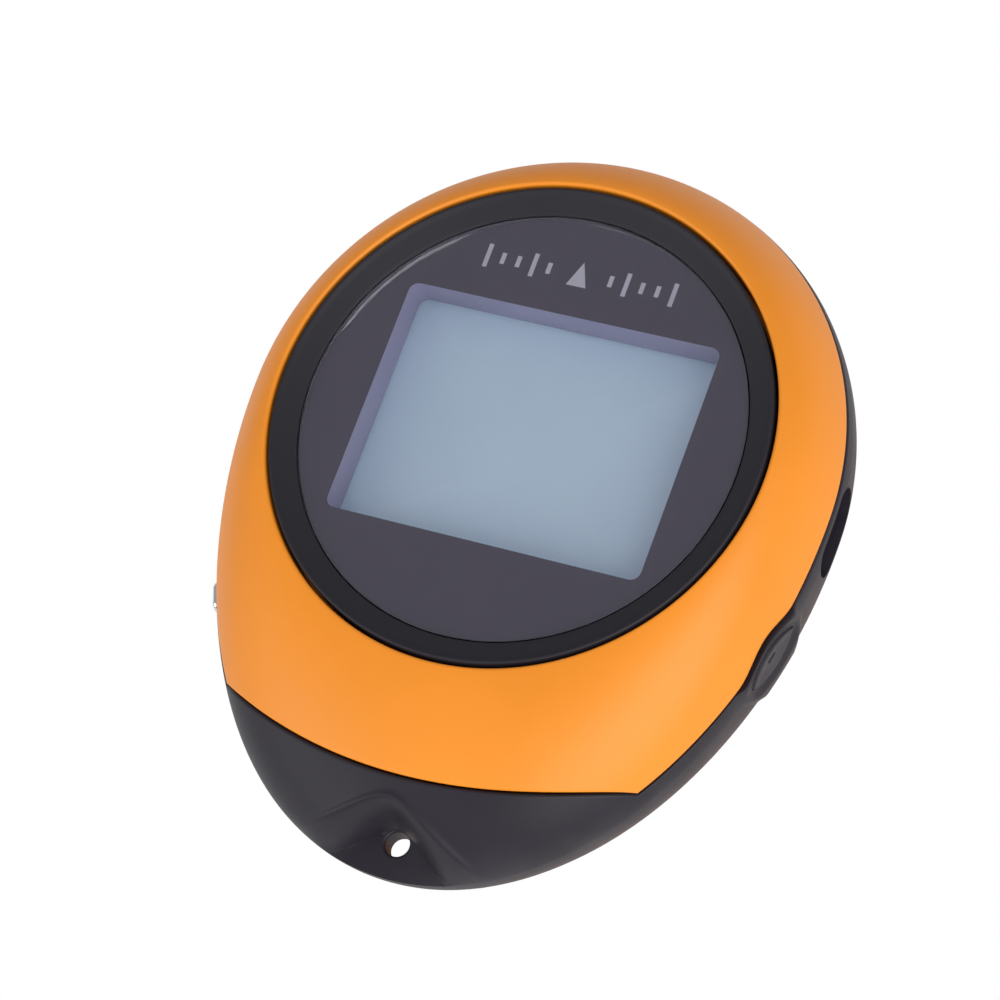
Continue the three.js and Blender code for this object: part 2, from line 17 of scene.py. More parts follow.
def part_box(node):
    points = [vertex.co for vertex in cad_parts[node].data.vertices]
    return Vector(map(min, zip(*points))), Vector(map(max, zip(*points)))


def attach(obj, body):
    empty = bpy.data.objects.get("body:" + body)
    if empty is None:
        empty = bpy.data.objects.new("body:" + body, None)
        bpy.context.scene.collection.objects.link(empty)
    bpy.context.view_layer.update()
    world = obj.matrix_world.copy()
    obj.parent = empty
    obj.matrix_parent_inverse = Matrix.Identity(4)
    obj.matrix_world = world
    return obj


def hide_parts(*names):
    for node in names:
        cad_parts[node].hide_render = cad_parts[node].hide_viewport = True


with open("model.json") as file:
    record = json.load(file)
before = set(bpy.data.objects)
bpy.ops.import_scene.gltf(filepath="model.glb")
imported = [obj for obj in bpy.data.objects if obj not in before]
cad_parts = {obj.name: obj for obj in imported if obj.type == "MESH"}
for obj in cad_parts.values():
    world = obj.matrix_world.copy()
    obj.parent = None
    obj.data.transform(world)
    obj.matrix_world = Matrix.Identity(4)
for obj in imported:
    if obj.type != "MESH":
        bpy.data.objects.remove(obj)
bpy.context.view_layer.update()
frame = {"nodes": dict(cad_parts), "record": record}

MM = 0.001

# %% [markdown]
# ## Sizes from the frame
# Everything is drawn in millimetres about the display's axis, so the few driving sizes are read
# from the boxes of the CAD nodes instead of being typed again.

# %% Driving sizes


def box_mm(node):
    """Lowest and highest corner of a CAD node, in millimetres."""
    low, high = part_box(node)
    return np.array(low) / MM, np.array(high) / MM


frame_low, frame_high = box_mm("middle_frame")
ring_low, ring_high = box_mm("bezel_ring")
lens_low, lens_high = box_mm("display_lens")
glass_low, glass_high = box_mm("lcd_front_glass")

CENTRE_Y = (ring_low[1] + ring_high[1]) / 2
HALF_WIDTH = -frame_low[0]
TOP_REACH = frame_high[1] - CENTRE_Y
TAIL_REACH = CENTRE_Y - frame_low[1]
HEIGHT = ring_high[2] + 0.045
WIDEST = 9.5             # level of the outline
FRONT_BULGE, BACK_BULGE = 1.65, 2.2   # 2 is a true ellipse, less is flatter, more is fuller
RING_R = 23.0            # where the front dome starts to fall
LAND_R = 20.0            # flat land of the back
LENS_R = lens_high[0]
LENS_TOP = lens_high[2]
LENS_BOTTOM = lens_low[2]
BAND_TOP = 11.2
BAND_BOTTOM = 5.8
SPLIT_TAIL, SPLIT_R = -33.15, 41.8
EYE_Y, EYE_R, EYE_FLOOR, EYE_UNDER = -37.4, 1.1, 9.4, 7.4
SEAM = 0.2               # open seam between two shells
WALL = 1.6
print(f"outline {2 * HALF_WIDTH:.1f} x {TOP_REACH + TAIL_REACH:.1f}, height {HEIGHT:.1f}")

# %% [markdown]
# ## Camera
# The product stands alone in front of a long lens, seen from the tail's side and a little from the
# right, so that the round display turns into an ellipse and the right-hand edge shows its keys.

# %% Camera
VIEW_FROM = Vector((0.3655, -0.3035, 0.8799)).normalized()
VIEW_UP = Vector((-0.373, 1.0, 0.0))
VIEW_TARGET = Vector((1.2, -1.7, HEIGHT)) * MM
VIEW_DISTANCE = 342.7 * MM


def add_camera():
    """A camera that looks along -VIEW_FROM at the target, with VIEW_UP upwards in the picture."""
    data = bpy.data.cameras.new("camera")
    data.sensor_width = 36.0
    data.lens = 142.3
    data.clip_start = 0.01
    camera = bpy.data.objects.new("camera", data)
    bpy.context.scene.collection.objects.link(camera)
    right = VIEW_UP.cross(VIEW_FROM).normalized()
    up = VIEW_FROM.cross(right)
    turn = Matrix((right, up, VIEW_FROM)).transposed().to_4x4()
    camera.matrix_world = Matrix.Translation(VIEW_TARGET + VIEW_FROM * VIEW_DISTANCE) @ turn
    bpy.context.scene.camera = camera


add_camera()
print("camera at", [round(c, 3) for c in VIEW_TARGET + VIEW_FROM * VIEW_DISTANCE])

# %% [markdown]
# ## Shader groups
# Three effects come back in several materials, so each is a group with named sockets. Moulded grain
# is the spark-eroded texture of the tool: two noises, one fine for the skin and one wide for the
# uneven sheen. Dust is a sparse field of specks. The sides are a little paler in a soft belt round
# the body's widest level: partly wear where fingers rub the texture, partly a painted rim
# highlight.

# %% Shader groups
# Patterns are counted per metre, because Object coordinates are in metres.
SHEEN_SCALE, SPECK_SCALE, PATCH_SCALE, RUB_SHEEN_SCALE = 90.0, 420.0, 260.0, 160.0
SPECK_CORE, SPECK_RIM = 0.035, 0.06          # shares of a cell
# The paler belt, partly wear from handling and partly a painted rim highlight, is full within the
# first of these distances from the widest level and gone beyond the second.
HELD_SHEEN_CORE, HELD_SHEEN_RIM = 0.0005, 0.0035         # metres above and below the held level
print("sheen spots about", round(1000 / SHEEN_SCALE, 1), "mm wide")


def new_group(name, inputs, outputs):
    """An empty shader group with float or vector inputs and float outputs."""
    group = bpy.data.node_groups.new(name, "ShaderNodeTree")
    for label, kind, value in inputs:
        socket = group.interface.new_socket(label, in_out="INPUT", socket_type=kind)
        if value is not None:
            socket.default_value = value
    for label in outputs:
        group.interface.new_socket(label, in_out="OUTPUT", socket_type="NodeSocketFloat")
    return group, group.nodes.new("NodeGroupInput"), group.nodes.new("NodeGroupOutput")


def noise(nodes, links, vector, scale, detail):
    """A noise texture on the given vector; scale may be a number or a socket."""
    node = nodes.new("ShaderNodeTexNoise")
    links.new(vector, node.inputs["Vector"])
    if isinstance(scale, (int, float)):
        node.inputs["Scale"].default_value = scale
    else:
        links.new(scale, node.inputs["Scale"])
    node.inputs["Detail"].default_value = detail
    return node.outputs["Fac"]


def ranged(nodes, links, value, low, high, to_low, to_high):
    """Maps value from low..high to to_low..to_high, clamped."""
    node = nodes.new("ShaderNodeMapRange")
    links.new(value, node.inputs["Value"])
    limits = {"From Min": low, "From Max": high, "To Min": to_low, "To Max": to_high}
    for label, number in limits.items():
        node.inputs[label].default_value = number
    return node.outputs["Result"]


def calculated(nodes, links, operation, *values):
    """A math node on one or two sockets."""
    node = nodes.new("ShaderNodeMath")
    node.operation = operation
    for number, value in enumerate(values):
        links.new(value, node.inputs[number])
    return node.outputs[0]


# %% Moulded grain


def make_grain_group():
    """Height = fine noise; Sheen = wide noise, both 0 to 1."""
    group, entry, out = new_group(
        "moulded_grain",
        [("Vector", "NodeSocketVector", None), ("Grain Scale", "NodeSocketFloat", 6000.0)],
        ["Height", "Sheen"])
    nodes, links, vector = group.nodes, group.links, entry.outputs["Vector"]
    links.new(noise(nodes, links, vector, entry.outputs["Grain Scale"], 2.0), out.inputs["Height"])
    wide = noise(nodes, links, vector, SHEEN_SCALE, 3.0)
    links.new(ranged(nodes, links, wide, 0.3, 0.7, 0.0, 1.0), out.inputs["Sheen"])
    return group


GRAIN = make_grain_group()
print("shader group", GRAIN.name)

# %% Dust


def make_dust_group():
    """Mask = 1 inside small cells' centres where a second noise allows a speck, else 0."""
    group, entry, out = new_group(
        "dust_specks",
        [("Vector", "NodeSocketVector", None), ("Density", "NodeSocketFloat", 0.62)],
        ["Mask"])
    nodes, links = group.nodes, group.links
    cells = nodes.new("ShaderNodeTexVoronoi")
    cells.inputs["Scale"].default_value = SPECK_SCALE
    links.new(entry.outputs["Vector"], cells.inputs["Vector"])
    speck = ranged(nodes, links, cells.outputs["Distance"], SPECK_CORE, SPECK_RIM, 1.0, 0.0)
    patch = noise(nodes, links, entry.outputs["Vector"], PATCH_SCALE, 1.0)
    chosen = calculated(nodes, links, "GREATER_THAN", patch, entry.outputs["Density"])
    links.new(calculated(nodes, links, "MULTIPLY", speck, chosen), out.inputs["Mask"])
    return group


DUST = make_dust_group()
print("shader group", DUST.name)

# %% Handled sides and painted rim sheen


def make_handled_and_sheen_group():
    """Mask = 1 at the level where fingers hold the body and a rim highlight is painted, 0 well
    above and below, times a noise.
    """
    group, entry, out = new_group(
        "handled_sides_and_painted_sheen",
        [("Vector", "NodeSocketVector", None), ("Level", "NodeSocketFloat", WIDEST * MM)],
        ["Mask"])
    nodes, links = group.nodes, group.links
    axes = nodes.new("ShaderNodeSeparateXYZ")
    links.new(entry.outputs["Vector"], axes.inputs["Vector"])
    away = calculated(nodes, links, "SUBTRACT", axes.outputs["Z"], entry.outputs["Level"])
    away = calculated(nodes, links, "ABSOLUTE", away)
    # Painted highlight: this paler belt stands partly for wear and partly for light along the
    # sides' rim.
    near = ranged(nodes, links, away, HELD_SHEEN_CORE, HELD_SHEEN_RIM, 1.0, 0.0)
    patch = noise(nodes, links, entry.outputs["Vector"], RUB_SHEEN_SCALE, 2.0)
    rubbed_and_lit = ranged(nodes, links, patch, 0.4, 0.65, 0.2, 1.0)
    links.new(calculated(nodes, links, "MULTIPLY", near, rubbed_and_lit), out.inputs["Mask"])
    return group


HANDLED_AND_SHEEN = make_handled_and_sheen_group()
print("shader group", HANDLED_AND_SHEEN.name)

# %% [markdown]
# ## Materials
# One function mixes the groups with a colour, a roughness and a grain depth, since moulded plastic,
# rubber, plated steel and ceramic differ mostly in those. Constants sit on the Principled shader's
# own sockets; what varies over the surface comes in through links.

# %% Colour helpers


def linear(red, green, blue):
    """A screen colour of 0 to 255 as linear light."""
    share = np.array([red, green, blue]) / 255
    light = np.where(share <= 0.04045, share / 12.92, ((share + 0.055) / 1.055) ** 2.4)
    return tuple(light) + (1.0,)


def add_mix(nodes, links, factor, first, second):
    """Colour mix of two sockets or colours by a factor socket."""
    mix = nodes.new("ShaderNodeMix")
    mix.data_type = "RGBA"
    links.new(factor, mix.inputs["Factor"])
    for label, value in (("A", first), ("B", second)):
        socket = [s for s in mix.inputs if s.name == label and s.type == "RGBA"][0]
        if isinstance(value, bpy.types.NodeSocket):
            links.new(value, socket)
        else:
            socket.default_value = value
    return [s for s in mix.outputs if s.type == "RGBA"][0]


print("mid grey is", round(linear(128, 128, 128)[0], 3), "in linear light")

# %% Material function


def moulded(name, colour, rough, spread, grain, depth, tone, dust=None, held_and_sheen=None,
            metallic=0.0, specular=0.5, dust_colour=(200, 196, 190)):
    """A material whose colour and roughness drift with the sheen and whose bump is the grain.

    Roughness runs over rough +- spread and colour over colour x (1 +- tone). The grain is counted
    per metre and its depth is in metres. Dust is the threshold of its patches. The last colour is
    the paler belt round the widest level: partly wear from handling, partly a painted rim
    highlight.
    """
    material = bpy.data.materials.new(name)
    material.use_nodes = True
    nodes, links = material.node_tree.nodes, material.node_tree.links
    shader = nodes["Principled BSDF"]
    shader.inputs["Metallic"].default_value = metallic
    shader.inputs["Specular IOR Level"].default_value = specular
    place = nodes.new("ShaderNodeTexCoord").outputs["Object"]
    skin = nodes.new("ShaderNodeGroup")
    skin.node_tree = GRAIN
    links.new(place, skin.inputs["Vector"])
    skin.inputs["Grain Scale"].default_value = grain
    base = np.array(linear(*colour)[:3])
    dark = tuple(base * (1 - tone)) + (1.0,)
    pale = tuple(np.minimum(base * (1 + tone), 1.0)) + (1.0,)
    look = add_mix(nodes, links, skin.outputs["Sheen"], dark, pale)
    # Paler belt round the widest level: partly wear from handling, partly a painted rim highlight.
    if held_and_sheen is not None:
        rubbed_and_lit = nodes.new("ShaderNodeGroup")
        rubbed_and_lit.node_tree = HANDLED_AND_SHEEN
        links.new(place, rubbed_and_lit.inputs["Vector"])
        look = add_mix(nodes, links, rubbed_and_lit.outputs["Mask"], look, linear(*held_and_sheen))
    if dust is not None:
        specks = nodes.new("ShaderNodeGroup")
        specks.node_tree = DUST
        specks.inputs["Density"].default_value = dust
        links.new(place, specks.inputs["Vector"])
        look = add_mix(nodes, links, specks.outputs["Mask"], look, linear(*dust_colour))
    links.new(look, shader.inputs["Base Color"])
    drift = ranged(nodes, links, skin.outputs["Sheen"], 0.0, 1.0, rough - spread, rough + spread)
    links.new(drift, shader.inputs["Roughness"])
    bump = nodes.new("ShaderNodeBump")
    bump.inputs["Strength"].default_value = 0.6
    bump.inputs["Distance"].default_value = depth
    links.new(skin.outputs["Height"], bump.inputs["Height"])
    links.new(bump.outputs["Normal"], shader.inputs["Normal"])
    return material


# %% Finishes of the outside and the inside
LOOK = {
    "orange_shell": moulded("orange satin plastic", (236, 141, 32), 0.46, 0.04, 5200.0, 0.000012,
                            0.03, dust=0.66, dust_colour=(255, 205, 150), specular=0.42),
    # The frame's paler colour for its sides is partly handling wear, partly a painted rim
    # highlight.
    "black_frame": moulded("black satin plastic", (35, 32, 40), 0.47, 0.05, 5200.0, 0.000014,
                           0.08, dust=0.68, held_and_sheen=(50, 48, 54), specular=0.27),
    "bezel": moulded("fine black plastic", (33, 31, 38), 0.55, 0.03, 7000.0, 0.000006, 0.05,
                     specular=0.32),
    # The key lies in the pale belt, so its paler colour is partly thumb wear, partly a painted
    # highlight.
    "rubber": moulded("black key rubber", (46, 43, 48), 0.68, 0.06, 3500.0, 0.00002, 0.08,
                      held_and_sheen=(70, 67, 72)),
    "print": moulded("lens border ink", (73, 67, 87), 0.5, 0.04, 9000.0, 0.000002, 0.03),
    "mark": moulded("pale print", (206, 205, 218), 0.5, 0.05, 9000.0, 0.000004, 0.04),
    "foam": moulded("foam tape", (60, 58, 62), 0.9, 0.05, 2500.0, 0.00008, 0.15),
    "holder": moulded("pale grey holder", (172, 167, 196), 0.6, 0.05, 5000.0, 0.00001, 0.04),
    "lcd_glass": moulded("blank liquid crystal", (212, 237, 255), 0.38, 0.03, 9000.0, 0.000002,
                         0.015),
    "white_plastic": moulded("milky plastic", (226, 226, 221), 0.4, 0.05, 5000.0, 0.000008, 0.03),
    "chip": moulded("moulding compound", (38, 38, 41), 0.6, 0.08, 4500.0, 0.000015, 0.1, dust=0.66),
    "ceramic": moulded("fired ceramic", (208, 190, 158), 0.65, 0.06, 3000.0, 0.00001, 0.08),
    "steel": moulded("plated steel", (186, 187, 191), 0.3, 0.08, 4000.0, 0.000004, 0.06,
                     metallic=1.0),
    "chrome": moulded("chrome plating", (222, 222, 226), 0.09, 0.03, 3000.0, 0.000001, 0.02,
                      metallic=1.0),
    "cell_wrap": moulded("pouch laminate", (196, 199, 204), 0.4, 0.1, 700.0, 0.00005, 0.06,
                         metallic=0.9),
    "red_lead": moulded("red insulation", (190, 32, 26), 0.4, 0.05, 3000.0, 0.000006, 0.06),
    "black_lead": moulded("black insulation", (26, 26, 28), 0.4, 0.05, 3000.0, 0.000006, 0.06),
}
print(len(LOOK), "finishes")

# %% [markdown]
# The circuit board is the one surface with a drawing on it: copper tracks seen through a green
# mask. The thin lines between the bricks of one brick texture stand for them, because they turn
# corners on a grid as tracks do. Boards are hidden under the covers, so that is drawing enough.

# %% Board and lens materials


def board_material():
    """Green mask, lighter where a track runs below it: the mortar of a brick texture."""
    material = moulded("green board", (24, 88, 52), 0.42, 0.06, 3000.0, 0.000006, 0.08)
    nodes, links = material.node_tree.nodes, material.node_tree.links
    shader = nodes["Principled BSDF"]
    place = nodes.new("ShaderNodeTexCoord").outputs["Object"]
    tracks = nodes.new("ShaderNodeTexBrick")
    tracks.inputs["Scale"].default_value = 500.0
    tracks.inputs["Mortar Size"].default_value = 0.06
    tracks.inputs["Mortar Smooth"].default_value = 0.2
    links.new(place, tracks.inputs["Vector"])
    mask_colour = shader.inputs["Base Color"].links[0].from_socket
    look = add_mix(nodes, links, tracks.outputs["Fac"], mask_colour, linear(58, 138, 84))
    links.new(look, shader.inputs["Base Color"])
    return material


def lens_material():
    """Clear moulded acrylic: the gloss comes from the shader, faint wipe marks from the sheen."""
    material = bpy.data.materials.new("clear acrylic")
    material.use_nodes = True
    nodes, links = material.node_tree.nodes, material.node_tree.links
    shader = nodes["Principled BSDF"]
    shader.inputs["Base Color"].default_value = (0.97, 0.97, 1.0, 1.0)
    shader.inputs["Transmission Weight"].default_value = 1.0
    shader.inputs["IOR"].default_value = 1.49
    place = nodes.new("ShaderNodeTexCoord").outputs["Object"]
    skin = nodes.new("ShaderNodeGroup")
    skin.node_tree = GRAIN
    skin.inputs["Grain Scale"].default_value = 2500.0
    links.new(place, skin.inputs["Vector"])
    wiped = ranged(nodes, links, skin.outputs["Sheen"], 0.0, 1.0, 0.0, 0.05)
    links.new(wiped, shader.inputs["Roughness"])
    return material


LOOK["board"] = board_material()
LOOK["lens"] = lens_material()
print(len(LOOK), "finishes with the board and the lens")

# %% [markdown]
# ## Putting a surface into a mesh
# A skin is a grid: columns run round the object and rows run along its profile. When both close on
# themselves the skin is a closed shell with an inside and an outside wall, and nothing has to be
# capped. A disc-like piece has rows that start and end on one point, and those points are merged.

# %% From grid to mesh
MERGE = 1e-7             # metres: points closer than this are one point


def grid_faces(columns, rows, close_rows):
    """Quads of a grid whose columns close; rows close too when asked. Whole arrays, no loop."""
    last = rows if close_rows else rows - 1
    i, j = np.meshgrid(np.arange(columns), np.arange(last), indexing="ij")
    next_i, next_j = (i + 1) % columns, (j + 1) % rows
    near, far = i * rows, next_i * rows
    return np.stack([near + j, far + j, far + next_j, near + next_j], -1).reshape(-1, 4)


def grid_mesh(name, parts):
    """One mesh from several closed point grids, each (points, close_rows), in millimetres.

    Equal points are merged, which closes the poles, and all faces are turned outwards.
    """
    verts, faces, start = [], [], 0
    for points, close_rows in parts:
        columns, rows = points.shape[:2]
        verts.append(points.reshape(-1, 3) * MM)
        faces.append(grid_faces(columns, rows, close_rows) + start)
        start += columns * rows
    mesh = bpy.data.meshes.new(name)
    mesh.from_pydata(np.concatenate(verts).tolist(), [], np.concatenate(faces).tolist())
    work = bmesh.new()
    work.from_mesh(mesh)
    bmesh.ops.remove_doubles(work, verts=work.verts, dist=MERGE)
    bmesh.ops.recalc_face_normals(work, faces=work.faces)
    work.to_mesh(mesh)
    work.free()
    return mesh


print("a grid of 4 x 3 points that closes both ways has", len(grid_faces(4, 3, True)), "faces")

# %% Pieces, and changes to them


def add_object(name, data):
    """A new object at the origin with the mesh or lamp it shows."""
    thing = bpy.data.objects.new(name, data)
    bpy.context.scene.collection.objects.link(thing)
    return thing


def shade(mesh, sharp):
    """Smooth shading, broken where faces meet at more than sharp degrees."""
    mesh.shade_smooth()
    mesh.set_sharp_from_angle(angle=np.radians(sharp))


def add_piece(name, parts, look, body="case", replaces=(), sharp=40):
    """A visible piece from closed grids, with its finish, its body and the nodes it stands for."""
    mesh = grid_mesh(name, parts)
    shade(mesh, sharp)
    piece = add_object(name, mesh)
    mesh.materials.append(LOOK[look])
    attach(piece, body)
    if replaces:
        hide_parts(*replaces)
    return piece


def change_piece(piece, operation, shapes, sharp=35):
    """Cuts capped tubes from the piece, or joins them on, and bakes the result into its mesh."""
    tools = [add_object("tool", grid_mesh("tool", [(shape, False)])) for shape in shapes]
    for tool in tools:
        step = piece.modifiers.new("change", "BOOLEAN")
        step.operation, step.solver, step.object = operation, "MANIFOLD", tool
    bpy.context.view_layer.update()
    finished = piece.evaluated_get(bpy.context.evaluated_depsgraph_get())
    result = bpy.data.meshes.new_from_object(finished)
    piece.modifiers.clear()
    piece.data = result
    shade(result, sharp)
    for tool in tools:
        bpy.data.objects.remove(tool)


def smooth(value):
    """Smooth step from 0 to 1, flat at both ends: 3 t^2 - 2 t^3."""
    t = np.clip(value, 0.0, 1.0)
    return t * t * (3 - 2 * t)


print("smooth step at a quarter:", round(float(smooth(0.25)), 3))

# %% [markdown]
# ## The body's outline and domes
# In plan the body is two half ellipses that meet on the display's axis. Its front falls from the
# round ring to that outline along a quarter of a superellipse, and its back does the same from a
# round flat land, so every upright cut is a smooth shoulder although one end is a circle and the
# other an egg. Columns are spread unevenly: close together round the eye and along the right-hand
# edge, where the small forms are.

# %% Columns and spokes
HALVINGS = 30            # each one halves the error of a share that starts between 0 and 1
WIDENING = 0.12          # growth of the step between columns, per degree away from a zone


def spread_columns(base_step, zones):
    """Angles round the body in degrees, as radians: each step is the base step, or less in and near
    a zone (middle, half width, step), where it grows again by a share of the way from the zone."""
    angle, angles = -180.0, []
    while angle < 180.0 - base_step * 0.5:
        angles.append(angle)
        steps = [base_step]
        for middle, half, step in zones:
            away = max(0.0, abs(angle - middle) - half)
            steps.append(step + away * WIDENING)
        angle += min(steps)
    return np.radians(np.array(angles))


def spokes(theta, core):
    """Start on the core circle, unit direction to the outline, and length, for each angle."""
    reach = np.where(np.sin(theta) > 0, TOP_REACH, TAIL_REACH)
    rim = np.stack([HALF_WIDTH * np.cos(theta), reach * np.sin(theta)], -1)
    start = core * np.stack([np.cos(theta), np.sin(theta)], -1)
    length = np.linalg.norm(rim - start, axis=-1)
    return start, (rim - start) / length[:, None], length


def place(theta, core, out, level):
    """Points at distance out along each spoke (inwards: along the radius) and at height level."""
    start, direction, _ = spokes(theta, core)
    radial = np.stack([np.cos(theta), np.sin(theta)], -1)
    way = np.where(out[..., None] >= 0, direction[:, None], radial[:, None])
    plan = start[:, None] + out[..., None] * way
    plan[..., 1] += CENTRE_Y
    return np.concatenate([plan, level[..., None]], -1)


EYE_ZONE, KEY_ZONE, PORT_ZONE = (-90.0, 17.0, 0.26), (-18.0, 15.0, 0.38), (6.0, 8.0, 0.5)
FLANK_ZONE = (-45.0, 3.0, 0.4)       # where the lid's lower end meets the tail
COLUMNS = spread_columns(1.4, [EYE_ZONE, KEY_ZONE, PORT_ZONE, FLANK_ZONE])
print(len(COLUMNS), "columns round the body")

# %% Domes


def with_normals(out, level, d_out, d_level):
    """Adds outward normal, tangent and speed to a profile: the tangent is its derivative made one
    long, the normal is the tangent turned a quarter, and the speed is the derivative's length."""
    speed = np.hypot(d_out, d_level)
    tangent = np.stack([d_out, d_level], -1) / speed[..., None]
    normal = np.stack([-tangent[..., 1], tangent[..., 0]], -1)
    return out, level, normal, tangent, speed


def front_dome(length, phi):
    """Front superellipse, with k = 2 / bulge: out = length x sin(phi)^k, and
    level = widest + rise x cos(phi)^k. The derivative stays just clear of both ends."""
    rise, k, length = HEIGHT - WIDEST, 2 / FRONT_BULGE, length[:, None]
    turn = np.clip(phi, 1e-4, np.pi / 2 - 1e-4)
    s, c = np.sin(turn), np.cos(turn)
    out = length * np.abs(np.sin(phi)) ** k
    level = WIDEST + rise * np.maximum(np.cos(phi), 0) ** k
    return with_normals(out, level, length * k * s ** (k - 1) * c, -rise * k * c ** (k - 1) * s)


def front_turn(length, out):
    """Angle of the front dome at a distance out along the spoke."""
    return np.arcsin(np.clip(out / length, 0, 1) ** (FRONT_BULGE / 2))


def back_dome(length, psi):
    """The same for the back: out = length x cos(psi)^k, level = widest x (1 - sin(psi)^k)."""
    k, length = 2 / BACK_BULGE, length[:, None]
    turn = np.clip(psi, 1e-4, np.pi / 2 - 1e-4)
    s, c = np.sin(turn), np.cos(turn)
    out = length * np.maximum(np.cos(psi), 0) ** k
    level = WIDEST * (1 - np.abs(np.sin(psi)) ** k)
    return with_normals(out, level, -length * k * c ** (k - 1) * s,
                        -WIDEST * k * s ** (k - 1) * c)


def back_inset(level):
    """Share of the spoke by which the back has drawn in at a level: 1 - (1 - t^b)^(1/b), with
    t = 1 - level / widest and b the bulge."""
    return 1 - np.maximum(1 - (1 - level / WIDEST) ** BACK_BULGE, 0) ** (1 / BACK_BULGE)


def back_level(plan):
    """Height of the back's outer surface over plan points, by halving on the share of the spoke."""
    reach = np.where(plan[..., 1] > 0, TOP_REACH, TAIL_REACH)
    low, high = np.zeros(plan.shape[:-1]), np.ones(plan.shape[:-1])
    for _ in range(HALVINGS):
        share = (low + high) / 2
        wide, long = LAND_R + share * (HALF_WIDTH - LAND_R), LAND_R + share * (reach - LAND_R)
        outside = (plan[..., 0] / wide) ** 2 + (plan[..., 1] / long) ** 2 > 1
        low, high = np.where(outside, share, low), np.where(outside, high, share)
    return WIDEST * (1 - (1 - low ** BACK_BULGE) ** (1 / BACK_BULGE))


print("the back's surface is", round(float(back_level(np.array([24.0, 0.0]))), 2), "high at x 24")

# %% [markdown]
# ## Where the shells meet
# The orange front cover ends in three ways: on a level line along the sides, on an arc across the
# tail, and over a low arch where the black frame swells into a lid for the enter key. All three
# are one function of the angle, so cover and frame share the same seam.

# %% Seam functions
KEY_Y, KEY_Z = -12.9, 9.6
LID_PROUD = 0.35         # how far the lid stands out of the side
LID_HEIGHT, LID_LENGTH, LID_FULLNESS = 0.9, 8.8, 0.8     # arch of the seam over the lid
SAME_SIDE, FAR_AWAY = 5.0, 99.0
EYE_WEB_HALF, EYE_WEB_BLEND = 9.0, 1.5   # the frame's edge rises within this x, over this width


def side_point(y, side):
    """Point, outward normal and tangent of the outline at height y about the display's axis."""
    reach = TOP_REACH if y > 0 else TAIL_REACH
    x = side * HALF_WIDTH * np.sqrt(1 - (y / reach) ** 2)
    normal = np.array([x / HALF_WIDTH ** 2, y / reach ** 2])
    normal /= np.linalg.norm(normal)
    return np.array([x, y]), normal, np.array([-normal[1], normal[0]])


def along_side(plan, y, side):
    """Distance of plan points from the side point at y along its tangent, or far away for points
    on the other side."""
    point, _, tangent = side_point(y, side)
    away = (plan - point) @ tangent
    return np.where(side * plan[..., 0] > SAME_SIDE, away, FAR_AWAY)


def outline_plan(theta):
    """Plan points of the outline: the far ends of the spokes."""
    start, direction, length = spokes(theta, RING_R)
    return start + direction * length[:, None]


def lid_rise(theta):
    """Arch over the enter key: height x (cos^2 of half a turn along its length) ^ fullness."""
    u = along_side(outline_plan(theta), KEY_Y, 1)
    arch = np.where(np.abs(u) < LID_LENGTH / 2, np.cos(np.pi * u / LID_LENGTH) ** 2, 0.0)
    return LID_HEIGHT * arch ** LID_FULLNESS


def seam_angle(theta):
    """Dome angle of the seam between front cover and middle frame: the smaller of the angle at
    the band's top and the angle where the spoke crosses the arc across the tail, found from the
    quadratic equation of a line and a circle."""
    share = np.clip((BAND_TOP + lid_rise(theta) - WIDEST) / (HEIGHT - WIDEST), 0, 1)
    side = np.arccos(share ** (FRONT_BULGE / 2))
    start, direction, length = spokes(theta, RING_R)
    from_centre = start - np.array([0.0, SPLIT_TAIL + SPLIT_R])
    b = np.sum(from_centre * direction, -1)
    c = np.sum(from_centre ** 2, -1) - SPLIT_R ** 2
    reach = -b + np.sqrt(np.maximum(b * b - c, 0))
    tail = front_turn(length, reach)
    return np.minimum(side, tail)


def frame_bottom(theta):
    """Height of the frame's lower edge: level all round, and higher under the lanyard eye."""
    plan = outline_plan(theta)
    eye = smooth((EYE_WEB_HALF - np.abs(plan[:, 0])) / EYE_WEB_BLEND) * (plan[:, 1] < 0)
    level = BAND_BOTTOM + SEAM / 2
    return level + (EYE_UNDER - level) * eye


print("seam angle", np.degrees(seam_angle(np.radians([0.0, -90.0]))).round(1))


# %% [markdown]
# ## Front cover
# The cover is one closed shell: down the bore that holds the ring, over the dome, round the lower
# edge, back up inside at an even wall, and down the rib that carries the bezel. The edges are
# quarter circles, as a mould with a polished parting edge leaves them.

# %% Front cover
EDGE_R = 0.22            # rounding of every parting edge
BORE, BORE_FOOT = 0.2, 16.0      # the bore is this far outside the ring's edge, down to this level
LIP_R = 0.3              # rounding where the bore meets the dome
INNER_START = 3.2        # the even wall begins this far out
RIB = [(1.8, 14.6), (1.8, 12.7), (-1.4, 12.7), (-1.4, 14.1), (BORE, 14.1)]   # (out, level)


def quarter(centre_out, centre_level, first, second, radius, steps=5):
    """Quarter circle about a centre, per column: centre + radius x (first cos a + second sin a)."""
    a = np.linspace(0, np.pi / 2, steps)[None, :, None]
    way = first[:, None] * np.cos(a) + second[:, None] * np.sin(a)
    return centre_out[:, None] + radius * way[..., 0], centre_level[:, None] + radius * way[..., 1]


def even(count, out, level):
    """The same (out, level) point in every column."""
    return np.full((count, 1), out), np.full((count, 1), level)


def joined(theta, core, parts):
    """One closed profile from its parts (out, level), as the arguments of place."""
    return theta, core, np.hstack([p[0] for p in parts]), np.hstack([p[1] for p in parts])


